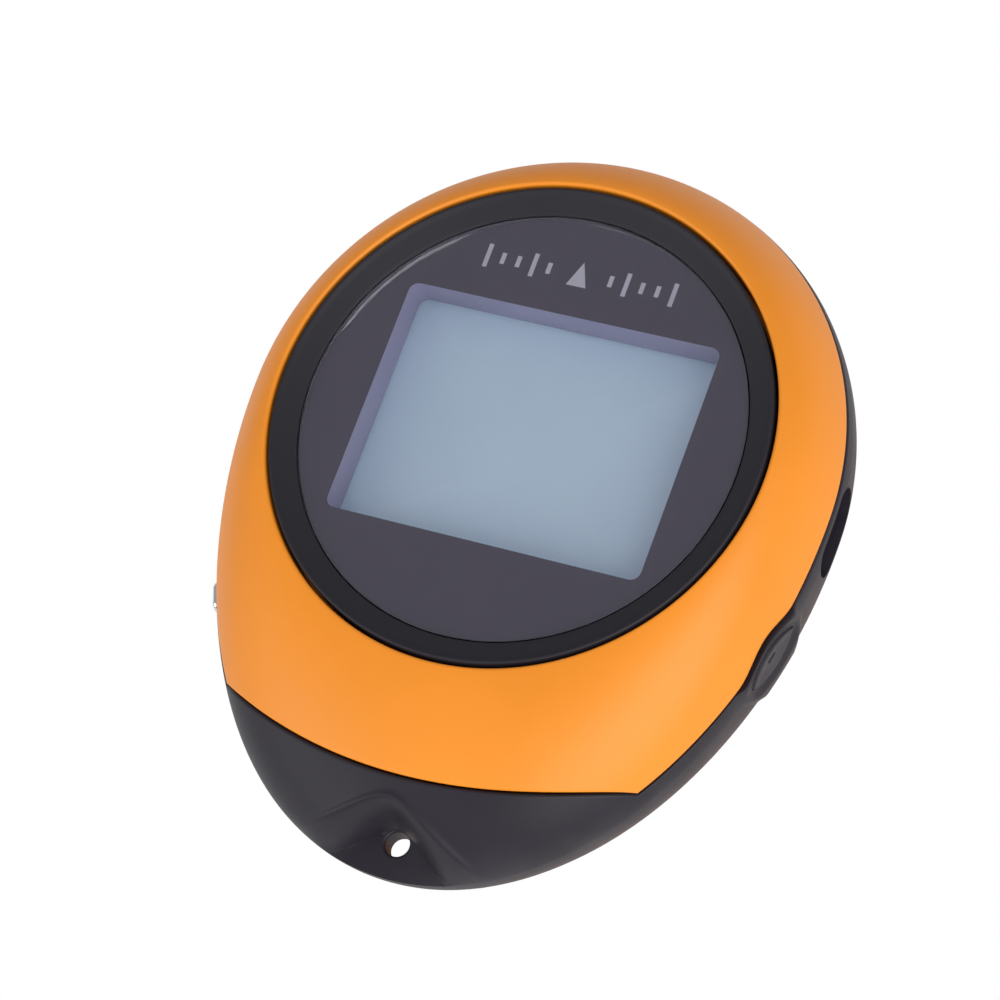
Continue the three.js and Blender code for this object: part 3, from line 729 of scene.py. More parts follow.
def front_cover_points(theta, rows=64, inner_rows=24):
    """Closed profile of the cover for every column, from the bore outwards and back inside."""
    n = len(theta)
    _, _, length = spokes(theta, RING_R)
    edge = seam_angle(theta)
    speed = front_dome(length, edge[:, None])[4][:, 0]
    edge = edge - (SEAM / 2 + EDGE_R) / speed
    first = front_turn(length, BORE + LIP_R)
    phi = first[:, None] + (edge - first)[:, None] * np.linspace(0, 1, rows)
    out, level, normal, tangent, _ = front_dome(length, phi)
    up, inward = np.tile([0.0, 1.0], (n, 1)), np.tile([-1.0, 0.0], (n, 1))
    lip_rows = quarter(out[:, 0], level[:, 0] - LIP_R, inward, up, LIP_R)
    end = np.stack([out[:, -1], level[:, -1]], -1) - normal[:, -1] * EDGE_R
    edge_rows = quarter(end[:, 0], end[:, 1], normal[:, -1], tangent[:, -1], EDGE_R)
    inner_first = front_turn(length, INNER_START)
    back = edge[:, None] + (inner_first - edge)[:, None] * np.linspace(0, 1, inner_rows)
    in_out, in_level, in_normal, in_tangent, _ = front_dome(length, back)
    in_out, in_level = in_out - WALL * in_normal[..., 0], in_level - WALL * in_normal[..., 1]
    step_out = in_out[:, :1] + EDGE_R * in_tangent[:, :1, 0]
    step_level = in_level[:, :1] + EDGE_R * in_tangent[:, :1, 1]
    parts = [even(n, BORE, BORE_FOOT), lip_rows, (out[:, 1:], level[:, 1:]),
             (edge_rows[0][:, 1:], edge_rows[1][:, 1:]), (step_out, step_level), (in_out, in_level)]
    parts += [even(n, *corner) for corner in RIB]
    return place(*joined(theta, RING_R, parts))


front = add_piece("front_cover_skin", [(front_cover_points(COLUMNS), True)], "orange_shell",
                  replaces=("front_cover",))
print("front cover", len(front.data.polygons), "faces")

# %% [markdown]
# ## Bell-shaped scoop
# A cord needs room to pass through the eye, so the tail is scooped out in front and behind in the
# shape of a bell, open towards the tip. The bell is one curve. The front uses the distance to it
# to sink the surface inside a soft bead, and the back uses a slightly larger bell as the edge of a
# notch.

# %% Bell curve
BELL_PEAK, BELL_HEM, BELL_FALL = -35.4, 11.0, 4.2     # y of the peak, half width, fall to the hem
BACK_GROW = 1.0          # the back's notch is this much larger, so that its edge stays hidden


def cubic(points, count):
    """Cubic Bezier curve of four points: (1-t)^3 a + 3t(1-t)^2 b + 3t^2(1-t) c + t^3 d."""
    t = np.linspace(0, 1, count)[:, None]
    a, b, c, d = (np.array(p) for p in points)
    return (1 - t) ** 3 * a + 3 * t * (1 - t) ** 2 * b + 3 * t ** 2 * (1 - t) * c + t ** 3 * d


def bell_half(grow=0.0):
    """Right-hand half of the bell, grown by grow: one Bezier curve from its peak to its hem."""
    peak = BELL_PEAK + grow
    shoulder = (2.0 + 0.8 * grow, peak)
    flank = (5.4 + 0.6 * grow, peak - 3.5 - 0.2 * grow)
    return cubic([(0, peak), shoulder, flank, (BELL_HEM, peak - BELL_FALL)], 160)


def in_bell(plan, half):
    """Whether plan points lie inside the bell whose right-hand half is given."""
    width = np.interp(-plan[..., 1], -half[:, 1], half[:, 0], left=-1.0)
    return (np.abs(plan[..., 0]) < width) & (plan[..., 1] < 0)


FRONT_BELL, BACK_BELL = bell_half(), bell_half(BACK_GROW)
BELL_LINE = np.concatenate([FRONT_BELL[::-1] * [-1, 1], FRONT_BELL[1:]])


print("bell", 2 * BELL_HEM, "wide at its hem")

# %% Distance to the bell


def bell_depth(plan):
    """Distance of plan points inside the front bell: positive within, negative outside."""
    near = np.sqrt(((plan[..., None, :] - BELL_LINE) ** 2).sum(-1)).min(-1)
    return np.where(in_bell(plan, FRONT_BELL), near, -near)


def bell_reach(theta, core, half):
    """Distance along each spoke to where it enters the bell, or the spoke's whole length."""
    start, direction, length = spokes(theta, core)
    steps = np.linspace(0, 1, 500)
    along = (length[:, None] * steps)[..., None]
    inside = in_bell(start[:, None] + direction[:, None] * along, half)
    first = np.where(inside.any(1), steps[np.argmax(inside, 1)], 1.0)
    return first * length


print("the eye is", round(float(bell_depth(np.array([0.0, EYE_Y]))), 2), "inside the bell")

# %% [markdown]
# ## Middle frame
# The black frame is one moulding: the band between the covers, the whole tail, and the lid over the
# enter key. Its profile is also a closed loop, from the seam over the dome and past the widest
# level to the lower edge, and back inside. The scoop sinks the surface to a level floor. The lid
# stands out by a third of a millimetre, and a shallow eye-shaped dish in it surrounds the key.

# %% Lid and dish
SCOOP_RIM = 0.45         # the rim starts to round over this far outside the bell
BEAD, BEAD_HALF = 0.2, 0.36   # height and half width of the soft bead along the rim
SCOOP_WALL, SCOOP_SPREAD = 0.85, 0.14    # width of its wall at the peak, and growth sideways
SCOOP_START = -33.0      # the scoop is only looked for beyond this y
BEAD_FADE = 1.5          # the bead dies out over this height above the floor
NO_BELL = -9.0           # a distance that is safely outside the bell
FRAME_WALL, RIM_WALL, BELL_WALL = 2.0, 2.2, 1.4          # at the seam, the outline and the bell
LID_HALF, LID_SLOPE, LID_TAPER, LID_TAPER_FROM = 4.9, 1.1, 0.5, 0.4
DISH_HALF, DISH_DEPTH, DISH_EDGE, DISH_SOFT = (4.1, 2.0), 0.4, 1.15, 0.4


def with_lid(profile):
    """Places points and moves them outwards for the lid and inwards for the dish round the key.

    The lid is a smooth step of the distance along the side, from a half length that tapers
    downwards. The dish is a smooth step of the distance from the key in an ellipse's measure.
    """
    points = place(*profile)
    plan = points[..., :2] - [0, CENTRE_Y]
    _, normal, _ = side_point(KEY_Y, 1)
    u = along_side(plan, KEY_Y, 1)
    v = points[..., 2] - KEY_Z
    lid_half = LID_HALF - LID_TAPER * np.maximum(-v - LID_TAPER_FROM, 0)
    lid = smooth((lid_half - np.abs(u)) / LID_SLOPE)
    eye = np.sqrt((u / DISH_HALF[0]) ** 2 + (v / DISH_HALF[1]) ** 2)
    push = LID_PROUD * lid - DISH_DEPTH * smooth((DISH_EDGE - eye) / DISH_SOFT)
    points[..., :2] += normal * push[..., None]
    return points


print("the lid stands", LID_PROUD, "out of the side")

# %% Profile of the middle frame


def sink(t):
    """Profile of the scoop's wall, t squared: level at the rim, and steepest at its foot."""
    return np.clip(t, 0, 1) ** 2.0


def middle_frame_points(theta):
    """Closed profile of the frame for every column, from the seam down to the lower edge and back.

    Rows crowd where the spoke crosses the bell's rim. Below it the level is drawn towards the
    floor by sink(depth / width), and near the rim a Gaussian bead is added.
    """
    n = len(theta)
    _, _, length = spokes(theta, RING_R)
    seam = seam_angle(theta)
    speed = front_dome(length, seam[:, None])[4][:, 0]
    seam = seam + (SEAM / 2 + EDGE_R) / speed
    quarter_turn = np.pi / 2
    bell = bell_reach(theta, RING_R, FRONT_BELL)
    wall_start = front_turn(length, bell - SCOOP_RIM - 0.3)
    wall_end = front_turn(length, bell + 2.4)
    before = np.maximum(wall_start, seam + (quarter_turn - seam) * 0.3)
    after = np.maximum(wall_end, before + (quarter_turn - before) * 0.4)
    spans = [a[:, None] + (b - a)[:, None] * np.linspace(0, 1, count)[None, :-1]
             for a, b, count in ((seam, before, 22), (before, after, 40),
                                 (after, np.full(n, quarter_turn), 20))]
    phi = np.concatenate(spans + [np.full((n, 1), quarter_turn)], 1)
    out, level, normal, tangent, _ = front_dome(length, phi)
    bottom = frame_bottom(theta) + EDGE_R
    drop = WIDEST + (bottom - WIDEST)[:, None] * np.linspace(0, 1, 14)[None, 1:]
    _, _, back_length = spokes(theta, LAND_R)
    inset = back_length[:, None] * back_inset(drop)
    all_out = np.hstack([out, length[:, None] - inset])
    all_level = np.hstack([level, drop])
    plan = place(theta, RING_R, all_out, all_level)[..., :2] - [0, CENTRE_Y]
    inside = np.where(plan[..., 1] < SCOOP_START, bell_depth(plan) + SCOOP_RIM, NO_BELL)
    depth = np.maximum(inside, 0.0)
    floor = np.minimum(all_level, EYE_FLOOR)
    wall_width = SCOOP_RIM + SCOOP_WALL + SCOOP_SPREAD * np.abs(plan[..., 0])
    all_level = all_level + (floor - all_level) * sink(depth / wall_width)
    on_dome = np.clip((all_level - EYE_FLOOR) / BEAD_FADE, 0, 1)
    all_level = all_level + BEAD * on_dome * np.exp(-(inside / BEAD_HALF) ** 2)
    low_out, low_level = all_out[:, -1], all_level[:, -1]
    outward, down = np.tile([1.0, 0.0], (n, 1)), np.tile([0.0, -1.0], (n, 1))
    foot = quarter(low_out - EDGE_R, low_level, outward, down, EDGE_R)
    corner = np.stack([out[:, 0], level[:, 0]], -1) - FRAME_WALL * normal[:, 0]
    inner = np.minimum(length - RIM_WALL, bell - BELL_WALL)
    inner = np.maximum(inner, corner[:, 0])
    in_phi = quarter_turn + (seam - quarter_turn)[:, None] * np.linspace(0, 1, 8)
    in_out, in_level, in_normal, _, _ = front_dome(length, in_phi)
    in_out = np.minimum(in_out - FRAME_WALL * in_normal[..., 0], inner[:, None])
    in_level = in_level - FRAME_WALL * in_normal[..., 1]
    edge_centre = np.stack([out[:, 0], level[:, 0]], -1) - EDGE_R * normal[:, 0]
    edge = quarter(edge_centre[:, 0], edge_centre[:, 1], -tangent[:, 0], normal[:, 0], EDGE_R)
    across = corner - EDGE_R * tangent[:, 0]
    floor_in = (inner[:, None], (low_level - EDGE_R)[:, None])
    parts = [edge, (all_out[:, 1:], all_level[:, 1:]), (foot[0][:, 1:], foot[1][:, 1:]), floor_in,
             (in_out, in_level), (across[:, :1], across[:, 1:])]
    return with_lid(joined(theta, RING_R, parts))


frame_points = middle_frame_points(COLUMNS)
print("middle frame", frame_points.shape[0], "columns of", frame_points.shape[1], "rows")

# %% [markdown]
# Holes with soft mouths are cut afterwards. Each cutter is a tube whose outline widens near the
# surface along a quarter circle, so the cut leaves a rounded mouth and no fillet is needed.

# %% Outlines of holes
EYE_POINT = 1.75         # 1 is an ellipse, 2 has sharp ends


def stadium(length, height, offset=0.0, count=96):
    """Closed oblong outline (u, v), grown by offset: a circle whose halves are moved apart."""
    r, flat = height / 2 + offset, length / 2 - height / 2
    a = np.linspace(0, 2 * np.pi, count, endpoint=False)
    return np.stack([r * np.cos(a) + flat * np.sign(np.cos(a)), r * np.sin(a)], -1)


def eye_outline(length, height, offset=0.0, count=96):
    """Pointed oval (u, v): u = cos a and v = sin a to the power EYE_POINT, scaled to size."""
    a = np.linspace(0, 2 * np.pi, count, endpoint=False)
    u, v = np.cos(a), np.sign(np.sin(a)) * (np.abs(np.sin(a)) ** EYE_POINT)
    return np.stack([(length / 2 + offset) * u, (height / 2 + offset) * v], -1)


def flare(depth, radius):
    """Extra outline size at a depth (positive outwards): radius x (1 - sqrt(1 - t^2)), a quarter
    circle that starts radius below the surface."""
    t = np.clip((depth + radius) / radius, 0, 1)
    return radius * (1 - np.sqrt(1 - t * t))


print("a mouth rounded by 0.4 is", round(float(flare(-0.1, 0.4)), 3), "wider 0.1 below its rim")

# %% Tubes


def capped(rings):
    """Grid of rings in a row, closed at each end by a ring drawn together on its own middle."""
    caps = [np.tile(ring.mean(0), (len(ring), 1)) for ring in (rings[0], rings[-1])]
    return np.stack([caps[0]] + rings + [caps[1]], 1)


def side_ring(y, z, side, uv, depth):
    """Ring on the side at y: point + normal x depth + tangent x u, at height z + v."""
    point, normal, tangent = side_point(y, side)
    plan = point + normal * depth + tangent * uv[:, :1]
    return np.concatenate([plan + [0, CENTRE_Y], z + uv[:, 1:]], 1)


def side_tube(y, z, side, outline, depths, offsets):
    """Tube pushed into the side at y: outline(offset) at each depth, capped at both ends."""
    return capped([side_ring(y, z, side, outline(offset), depth)
                   for depth, offset in zip(depths, offsets)])


def upright_tube(x, y, outline, levels, offsets):
    """Upright tube: outline(offset) at each level, capped at both ends."""
    rings = []
    for level, offset in zip(levels, offsets):
        uv = outline(offset)
        rings.append(np.concatenate([uv + [x, y + CENTRE_Y], np.full((len(uv), 1), level)], 1))
    return capped(rings)


def circle(radius, count=72):
    """Outline function of a circle: a stadium as long as it is high."""
    return lambda offset: stadium(2 * radius, 2 * radius, offset, count)


def mouth_depths(surface, radius, deep, high):
    """Depths and offsets of a tube with a mouth rounded by radius at the surface."""
    near = surface - radius + radius * np.sin(np.linspace(0, np.pi / 2, 7))
    depths = np.concatenate([[deep], near, [high]])
    offsets = np.concatenate([[0.0], flare(near - surface, radius), [radius + 0.3]])
    return depths, offsets


print("tubes with", len(circle(1.0)(0.0)), "points round a circle")

# %% Middle frame with its holes
PORT_SIZE, PORT_Z = (8.4, 3.7), 8.5
KEY_HOLE = (6.7, 3.04)
NUB_Y, NUB_Z, NUB_HOLE = -20.0, 9.6, (3.2, 1.8)
HOLE_DEEP = -4.0         # the side holes break through into the hollow
port_mouth = mouth_depths(0.0, 0.4, HOLE_DEEP, 0.6)
enter_mouth = mouth_depths(-0.05, 0.22, HOLE_DEEP, 1.2)
nub_mouth = mouth_depths(0.0, 0.2, HOLE_DEEP, 0.6)
eye_mouth = mouth_depths(EYE_FLOOR, 0.3, 5.0, EYE_FLOOR + 0.4)
frame_cutters = [
    side_tube(0.0, PORT_Z, 1, lambda o: stadium(*PORT_SIZE, o), *port_mouth),
    side_tube(KEY_Y, KEY_Z, 1, lambda o: eye_outline(*KEY_HOLE, o), *enter_mouth),
    side_tube(NUB_Y, NUB_Z, -1, lambda o: stadium(*NUB_HOLE, o), *nub_mouth),
    upright_tube(0.0, EYE_Y, circle(EYE_R), *eye_mouth),
]
middle = add_piece("middle_frame_skin", [(frame_points, True)], "black_frame",
                   replaces=("middle_frame",))
change_piece(middle, "DIFFERENCE", frame_cutters)
print("middle frame", len(middle.data.polygons), "faces")

# %% [markdown]
# ## Back cover
# The back is the plainest moulding: a shallow bowl with a flat land to lie on, notched by the
# larger bell so that a cord passes right through, with four counterbored screw holes in posts.

# %% Back cover
BACK_WALL, BACK_RIM_WALL, BACK_THINNING = 1.5, 1.4, 0.95
SCREWS = [(16.3, 16.3, 2.6), (-16.3, 16.3, 2.6), (13.0, -27.0, 3.7), (-13.0, -27.0, 3.7)]
POST_R, POST_TOP, POST_ROOT = 2.6, 5.7, 0.6      # the root starts this far inside the skin
HEAD_HOLE_R, SHAFT_HOLE_R, SHAFT_HOLE_TOP = 1.9, 1.1, 6.5
BELOW = -1.0             # cutters start below the part


def back_cover_points(theta):
    """Closed profile of the back for every column: edge, wall, dome, land, and back inside. The
    dome starts at the rim or where the spoke enters the bell, whichever is further in."""
    n = len(theta)
    _, _, length = spokes(theta, LAND_R)
    rim = frame_bottom(theta) - SEAM
    bell = bell_reach(theta, LAND_R, BACK_BELL)
    at_rim = np.arcsin(np.clip(1 - (rim - EDGE_R) / WIDEST, 0, 1) ** (BACK_BULGE / 2))
    at_bell = np.arccos(np.clip(bell / length, 0, 1) ** (BACK_BULGE / 2))
    first = np.maximum(at_rim, at_bell)
    psi = first[:, None] + (np.pi / 2 - first)[:, None] * np.linspace(0, 1, 44)
    out, level, normal, _, _ = back_dome(length, psi)
    wall = level[:, 0] + (rim - EDGE_R - level[:, 0]) * np.linspace(1, 0, 6)[:-1, None]
    wall_out = np.tile(out[:, :1], (1, 5))
    outward, up = np.tile([1.0, 0.0], (n, 1)), np.tile([0.0, 1.0], (n, 1))
    edge = quarter(out[:, 0] - EDGE_R, rim - EDGE_R, up, outward, EDGE_R)
    land_steps = -LAND_R * np.linspace(0, 1, 14)[1:]
    land = (np.tile(land_steps, (n, 1)), np.zeros((n, 13)))
    inner_land = (land[0][:, ::-1], land[1] + BACK_WALL)
    in_out = out - BACK_WALL * normal[..., 0] * BACK_THINNING
    in_out = np.minimum(in_out, out[:, :1] - BACK_RIM_WALL)[:, ::-1]
    in_level = (level - BACK_WALL * normal[..., 1])[:, ::-1]
    top_in = (out[:, :1] - BACK_RIM_WALL, rim[:, None])
    parts = [edge, (wall_out, wall.T), (out, level), land, inner_land, (in_out, in_level), top_in]
    return place(*joined(theta, LAND_R, parts))


back = add_piece("back_cover_skin", [(back_cover_points(COLUMNS), True)], "orange_shell",
                 replaces=("back_cover",))


def post(x, y, radius, top):
    """Post that starts half-way through the cover's wall, whatever the wall's slope."""
    tube = upright_tube(x, y, circle(radius), (0.0, top), (0, 0))
    foot = tube[:, :2, :2] - [0, CENTRE_Y]
    tube[:, :2, 2] = back_level(foot) + POST_ROOT
    return tube


def bore(x, y, radius, top):
    """Straight round hole from below the part up to a level."""
    return upright_tube(x, y, circle(radius), (BELOW, top), (0, 0))


change_piece(back, "UNION", [post(x, y, POST_R, POST_TOP) for x, y, _ in SCREWS])
change_piece(back, "DIFFERENCE", [bore(x, y, HEAD_HOLE_R, seat) for x, y, seat in SCREWS]
             + [bore(x, y, SHAFT_HOLE_R, SHAFT_HOLE_TOP) for x, y, _ in SCREWS])
print("back cover", len(back.data.polygons), "faces")

# %% [markdown]
# ## Bezel ring, lens and printed border
# The ring is a turned-looking moulding with a rectangular window in its floor. Its visible top
# slopes down to the lens, which sits a millimetre below the shoulder with a fine gap round it. The
# lens is clear; the dark border is ink on its underside, so the ink is a separate thin layer.

# %% Ring, lens and ink
WINDOW_X, WINDOW_Y, WINDOW_CORNER = 15.05, 11.25, 0.9


def window_outline(grow, count=480):
    """Closed rounded rectangle, grown by grow. In each direction the point lies on the flat side
    of the core rectangle grown by r, or in a corner on the circle of radius r about its corner."""
    a = np.linspace(0, 2 * np.pi, count, endpoint=False)
    way = np.stack([np.cos(a), np.sin(a)], -1)
    r = WINDOW_CORNER + grow
    core = np.array([WINDOW_X - WINDOW_CORNER, WINDOW_Y - WINDOW_CORNER])
    flat = np.minimum((core[0] + r) / np.maximum(np.abs(way[:, 0]), 1e-9),
                      (core[1] + r) / np.maximum(np.abs(way[:, 1]), 1e-9))
    corner = np.abs(way) @ core
    reach = corner + np.sqrt(np.maximum(corner ** 2 - core @ core + r * r, 0))
    in_corner = np.all(np.abs(way) * flat[:, None] > core - 1e-9, axis=1)
    return way * np.where(in_corner, reach, flat)[:, None]


def ring_outline(radius, count=480):
    """Circle round the display's axis, with the same angular steps as the window outline."""
    a = np.linspace(0, 2 * np.pi, count, endpoint=False)
    return radius * np.stack([np.cos(a), np.sin(a)], -1)


def stacked(rows):
    """Grid from (outline, level) rows."""
    return np.stack([np.concatenate([plan + [0, CENTRE_Y], np.full((len(plan), 1), level)], 1)
                     for plan, level in rows], 1)


def arc_rows(r, z, radius, start, end, steps=5):
    """Rows of a turned fillet about (r, z), between two angles in degrees."""
    a = np.radians(np.linspace(start, end, steps))
    return [(ring_outline(r + radius * np.cos(t)), z + radius * np.sin(t)) for t in a]


LENS_EDGE = LENS_R + 0.12
LENS_GAP, LENS_FILLET = 0.12, 0.03
RING_FLOOR, RING_LEDGE = 14.0, 15.0          # underside of the ring, and what the lens lies on
INNER_LIP, INNER_LIP_R, SLOPE_START, SLOPE = 0.2, 0.08, 20.62, 0.46
SHOULDER_R, SHOULDER_ROUND, SHOULDER_DOWN = 22.66, 0.22, 0.25
SKIRT = [(22.88, 15.1), (21.3, 15.1), (21.3, RING_FLOOR)]        # (radius, level)
INK_LOW, INK_HIGH, INK_INSET = LENS_BOTTOM - 0.04, LENS_BOTTOM - 0.02, 0.01

bezel_rows = [(window_outline(0.2), RING_FLOOR), (window_outline(0.2), RING_LEDGE),
              (ring_outline(LENS_EDGE + LENS_GAP), RING_LEDGE)]
bezel_rows += arc_rows(LENS_EDGE + INNER_LIP, LENS_TOP, INNER_LIP_R, 180, 115, 4)
bezel_rows += [(ring_outline(r), LENS_TOP + INNER_LIP_R + (r - SLOPE_START) * SLOPE)
               for r in (20.9, 21.5, 22.0, 22.4)]
bezel_rows += arc_rows(SHOULDER_R, HEIGHT - SHOULDER_DOWN, SHOULDER_ROUND, 110, 0, 8)
bezel_rows += [(ring_outline(r), level) for r, level in SKIRT]
add_piece("bezel_ring_skin", [(stacked(bezel_rows), True)], "bezel", replaces=("bezel_ring",),
          sharp=50)

lens_rows = [(ring_outline(0.0), LENS_BOTTOM), (ring_outline(LENS_EDGE), LENS_BOTTOM)]
lens_rows += arc_rows(LENS_EDGE - LENS_FILLET, LENS_TOP - LENS_FILLET, LENS_FILLET, 0, 90, 4)
lens_rows += [(ring_outline(0.0), LENS_TOP)]
add_piece("display_lens_skin", [(stacked(lens_rows), False)], "lens", replaces=("display_lens",))

ink_edge = ring_outline(LENS_EDGE - INK_INSET)
ink_rows = [(window_outline(0.0), INK_LOW), (ink_edge, INK_LOW),
            (ink_edge, INK_HIGH), (window_outline(0.0), INK_HIGH)]
add_piece("lens_border_ink", [(stacked(ink_rows), True)], "print")
print("ring, lens and ink in", len(bezel_rows), len(lens_rows), len(ink_rows), "rows")

# %% [markdown]
# ## Printed scale
# Above the window the border carries a small pale print: a row of ticks like a compass tape with a
# pointer in the middle. It is a thin layer of ink between the lens and the dark border.

# %% Compass tape


def bar(u, v, width, height):
    """Corners of a flat bar centred on (u, v)."""
    x, y = width / 2, height / 2
    return np.array([[u - x, v - y], [u + x, v - y], [u + x, v + y], [u - x, v + y]])


def flat_mark(plan, low, high):
    """Closed thin prism over a plan outline."""
    middle_point = np.tile(plan.mean(0), (len(plan), 1))
    return stacked([(middle_point, low), (plan, low), (plan, high), (middle_point, high)])


TAPE_Y, TAPE_HALF, TICK_WIDE, SHORT_TICK, LONG_TICK = 15.3, 9.0, 0.42, 1.1, 2.3
TICKS, POINTER_ROOM = 13, 1.6
ticks = [bar(u, TAPE_Y, TICK_WIDE, SHORT_TICK if i % 3 else LONG_TICK)
         for i, u in enumerate(np.linspace(-TAPE_HALF, TAPE_HALF, TICKS)) if abs(u) > POINTER_ROOM]
pointer = np.array([[-0.95, TAPE_Y - 1.15], [0.95, TAPE_Y - 1.15], [0.0, TAPE_Y + 1.25]])
marks = [(flat_mark(plan, LENS_BOTTOM - 0.016, LENS_BOTTOM - 0.006), False)
         for plan in ticks + [pointer]]
add_piece("lens_compass_tape", marks, "mark", sharp=30)
print(len(ticks), "ticks and a pointer")

# %% [markdown]
# ## Display well and glass
# Below the window a pale grey frame lines the space down to the display and holds its glass. The
# glass is a plain grey-blue liquid crystal cell with nothing shown on it.

# %% Well and display glass
# Rows of the well's profile: growth over the window, and level. It runs down the visible wall,
# out over the glass, down outside it, and back up to the underside of the ring and the lens.
WELL = [(0.02, 15.8), (0.02, 11.95), (0.2, 11.72), (2.15, 11.72), (2.15, 7.6), (3.15, 7.6),
        (3.15, 12.4), (1.2, 12.4), (1.2, 13.7), (0.16, 13.7), (0.16, 15.8)]
well_rows = [(window_outline(grow), level) for grow, level in WELL]
add_piece("lcd_holder_skin", [(stacked(well_rows), True)], "holder", replaces=("lcd_holder",))


def rounded_slab(x0, x1, y0, y1, z0, z1, edge, corner=0.3, count=64):
    """Flat slab as rows from bottom to top. Each row is a rounded rectangle, and the rows next to
    the faces draw in along quarter circles of radius edge."""
    a = np.linspace(0, 2 * np.pi, count, endpoint=False) + np.pi / count
    way = np.stack([np.cos(a), np.sin(a)], -1)
    half = np.array([(x1 - x0) / 2, (y1 - y0) / 2])
    centre = np.array([(x0 + x1) / 2, (y0 + y1) / 2])
    box = np.sign(way) * (half - corner)
    turn = np.radians(np.linspace(0, 90, 4))
    rows = [(np.tile(centre, (count, 1)), z0)]
    rows += [(centre + box + way * (corner - edge * (1 - np.sin(t))), z0 + edge * (1 - np.cos(t)))
             for t in turn]
    rows += [(centre + box + way * (corner - edge * (1 - np.cos(t))), z1 - edge * (1 - np.sin(t)))
             for t in turn]
    rows.append((np.tile(centre, (count, 1)), z1))
    return stacked(rows)


glass_y0, glass_y1 = glass_low[1] - CENTRE_Y, glass_high[1] - CENTRE_Y
glass = rounded_slab(glass_low[0], glass_high[0], glass_y0, glass_y1,
                     glass_low[2], glass_high[2], edge=0.08)
add_piece("lcd_front_glass_skin", [(glass, False)], "lcd_glass", replaces=("lcd_front_glass",))
print(f"glass {glass_high[0] - glass_low[0]:.1f} x {glass_y1 - glass_y0:.1f}")

# %% [markdown]
# ## Keys
# The enter key is soft rubber, eye-shaped and dished, with a small pressed mark where the thumb
# finds it. The power key is a plated nub, round all over, that stands out of its slot. Both are
# lofts of one outline along the side's own normal. Behind the wall each has a wide flange that
# keeps it in, and a stem that reaches its switch.

# %% Enter key and power key


def side_loft(y, z, side, rows):
    """Closed loft on the side at y, from rows of (u-v outline, depth)."""
    return np.stack([side_ring(y, z, side, uv, depth) for uv, depth in rows], 1)


def plate(outline, low, high):
    """Rows of a flat plate between two depths, closed at its middle on both faces."""
    return [(outline * 0.0, low), (outline, low), (outline, high), (outline * 0.0, high)]


KEY_SIZE, KEY_ROOT, KEY_FACE, KEY_DISH = (6.4, 2.8), -2.6, 0.02, 0.22
KEY_ROUND, KEY_DRAW = 0.14, 0.05     # rounding of the face's edge, and its share inwards
DISH_RIM, DISH_SLOPE = 0.93, 0.75    # shares of the key where the dish starts, and its slope
MARK_SIZE = (1.1, 0.6)
FLANGE_DOWN = 0.2                    # the hidden flange sits this much lower than the key
FLANGE_SIZE, FLANGE_DEPTHS = (7.6, 2.6), (-3.9, -3.35)
key_shape = eye_outline(*KEY_SIZE)
key_rows = [(key_shape * 0.0, KEY_ROOT), (key_shape, KEY_ROOT)]
key_rows += [(key_shape * (1 - KEY_DRAW * (1 - np.cos(t))), KEY_FACE - KEY_ROUND * (1 - np.sin(t)))
             for t in np.radians(np.linspace(0, 90, 6))]
key_rows += [(key_shape * s, KEY_FACE - KEY_DISH * smooth((DISH_RIM - s) / DISH_SLOPE))
             for s in np.linspace(0.92, 0.0, 26)]
key_grid = side_loft(KEY_Y, KEY_Z, 1, key_rows)
flange_rows = plate(stadium(*FLANGE_SIZE), *FLANGE_DEPTHS)
neck = stadium(4.2, 1.2)
pusher = neck * [0.42, 0.8]
neck_rows = [(neck * 0.0, -5.9), (pusher, -5.9), (pusher, -3.6), (neck, -3.5), (neck, -2.5),
             (neck * 0.0, -2.5)]
enter = add_piece("enter_key_skin", [(key_grid, False)], "rubber", body="enter_key",
                  replaces=("enter_key",))
for rows in (neck_rows, flange_rows):
    change_piece(enter, "UNION", [side_loft(KEY_Y, KEY_Z - FLANGE_DOWN, 1, rows)])
mark_mouth = mouth_depths(KEY_FACE - KEY_DISH + 0.02, 0.12, -1.2, 0.5)
mark = side_tube(KEY_Y, KEY_Z, 1, lambda o: stadium(*MARK_SIZE, o), *mark_mouth)
change_piece(enter, "DIFFERENCE", [mark])

NUB_SIZE, NUB_ROOT, NUB_PROUD, NUB_ROUND = (2.9, 1.5), -2.8, 0.45, 0.5
BASE_DOWN = 0.1                      # the hidden base sits this much lower than the nub
nub_shape = stadium(*NUB_SIZE)
nub_rows = [(nub_shape * 0.0, NUB_ROOT), (nub_shape, NUB_ROOT), (nub_shape, NUB_PROUD - NUB_ROUND)]
nub_rows += [(stadium(*NUB_SIZE, -NUB_ROUND * (1 - np.cos(t))),
              NUB_PROUD - NUB_ROUND * (1 - np.sin(t)))
             for t in np.radians(np.linspace(10, 90, 9))]
nub_rows.append((nub_shape * 0.0, NUB_PROUD))
nub = add_piece("power_key_skin", [(side_loft(NUB_Y, NUB_Z, -1, nub_rows), False)], "chrome",
                body="power_key", replaces=("power_key",), sharp=60)
base, stem = stadium(6.1, 2.1), stadium(1.8, 1.0)
base_rows = [(stem * 0.0, -5.9), (stem, -5.9), (stem, -3.5), (base, -3.5), (base, -2.7),
             (base * 0.0, -2.7)]
change_piece(nub, "UNION", [side_loft(NUB_Y, NUB_Z - BASE_DOWN, -1, base_rows)], sharp=60)
print("keys", len(enter.data.polygons), len(nub.data.polygons))

# %% [markdown]
# ## Case screws
# Four small pan-head screws with a cross recess hold the stack together from the back. The head is
# turned, and the recess is two tapered slots cut across it.

# %% Case screws


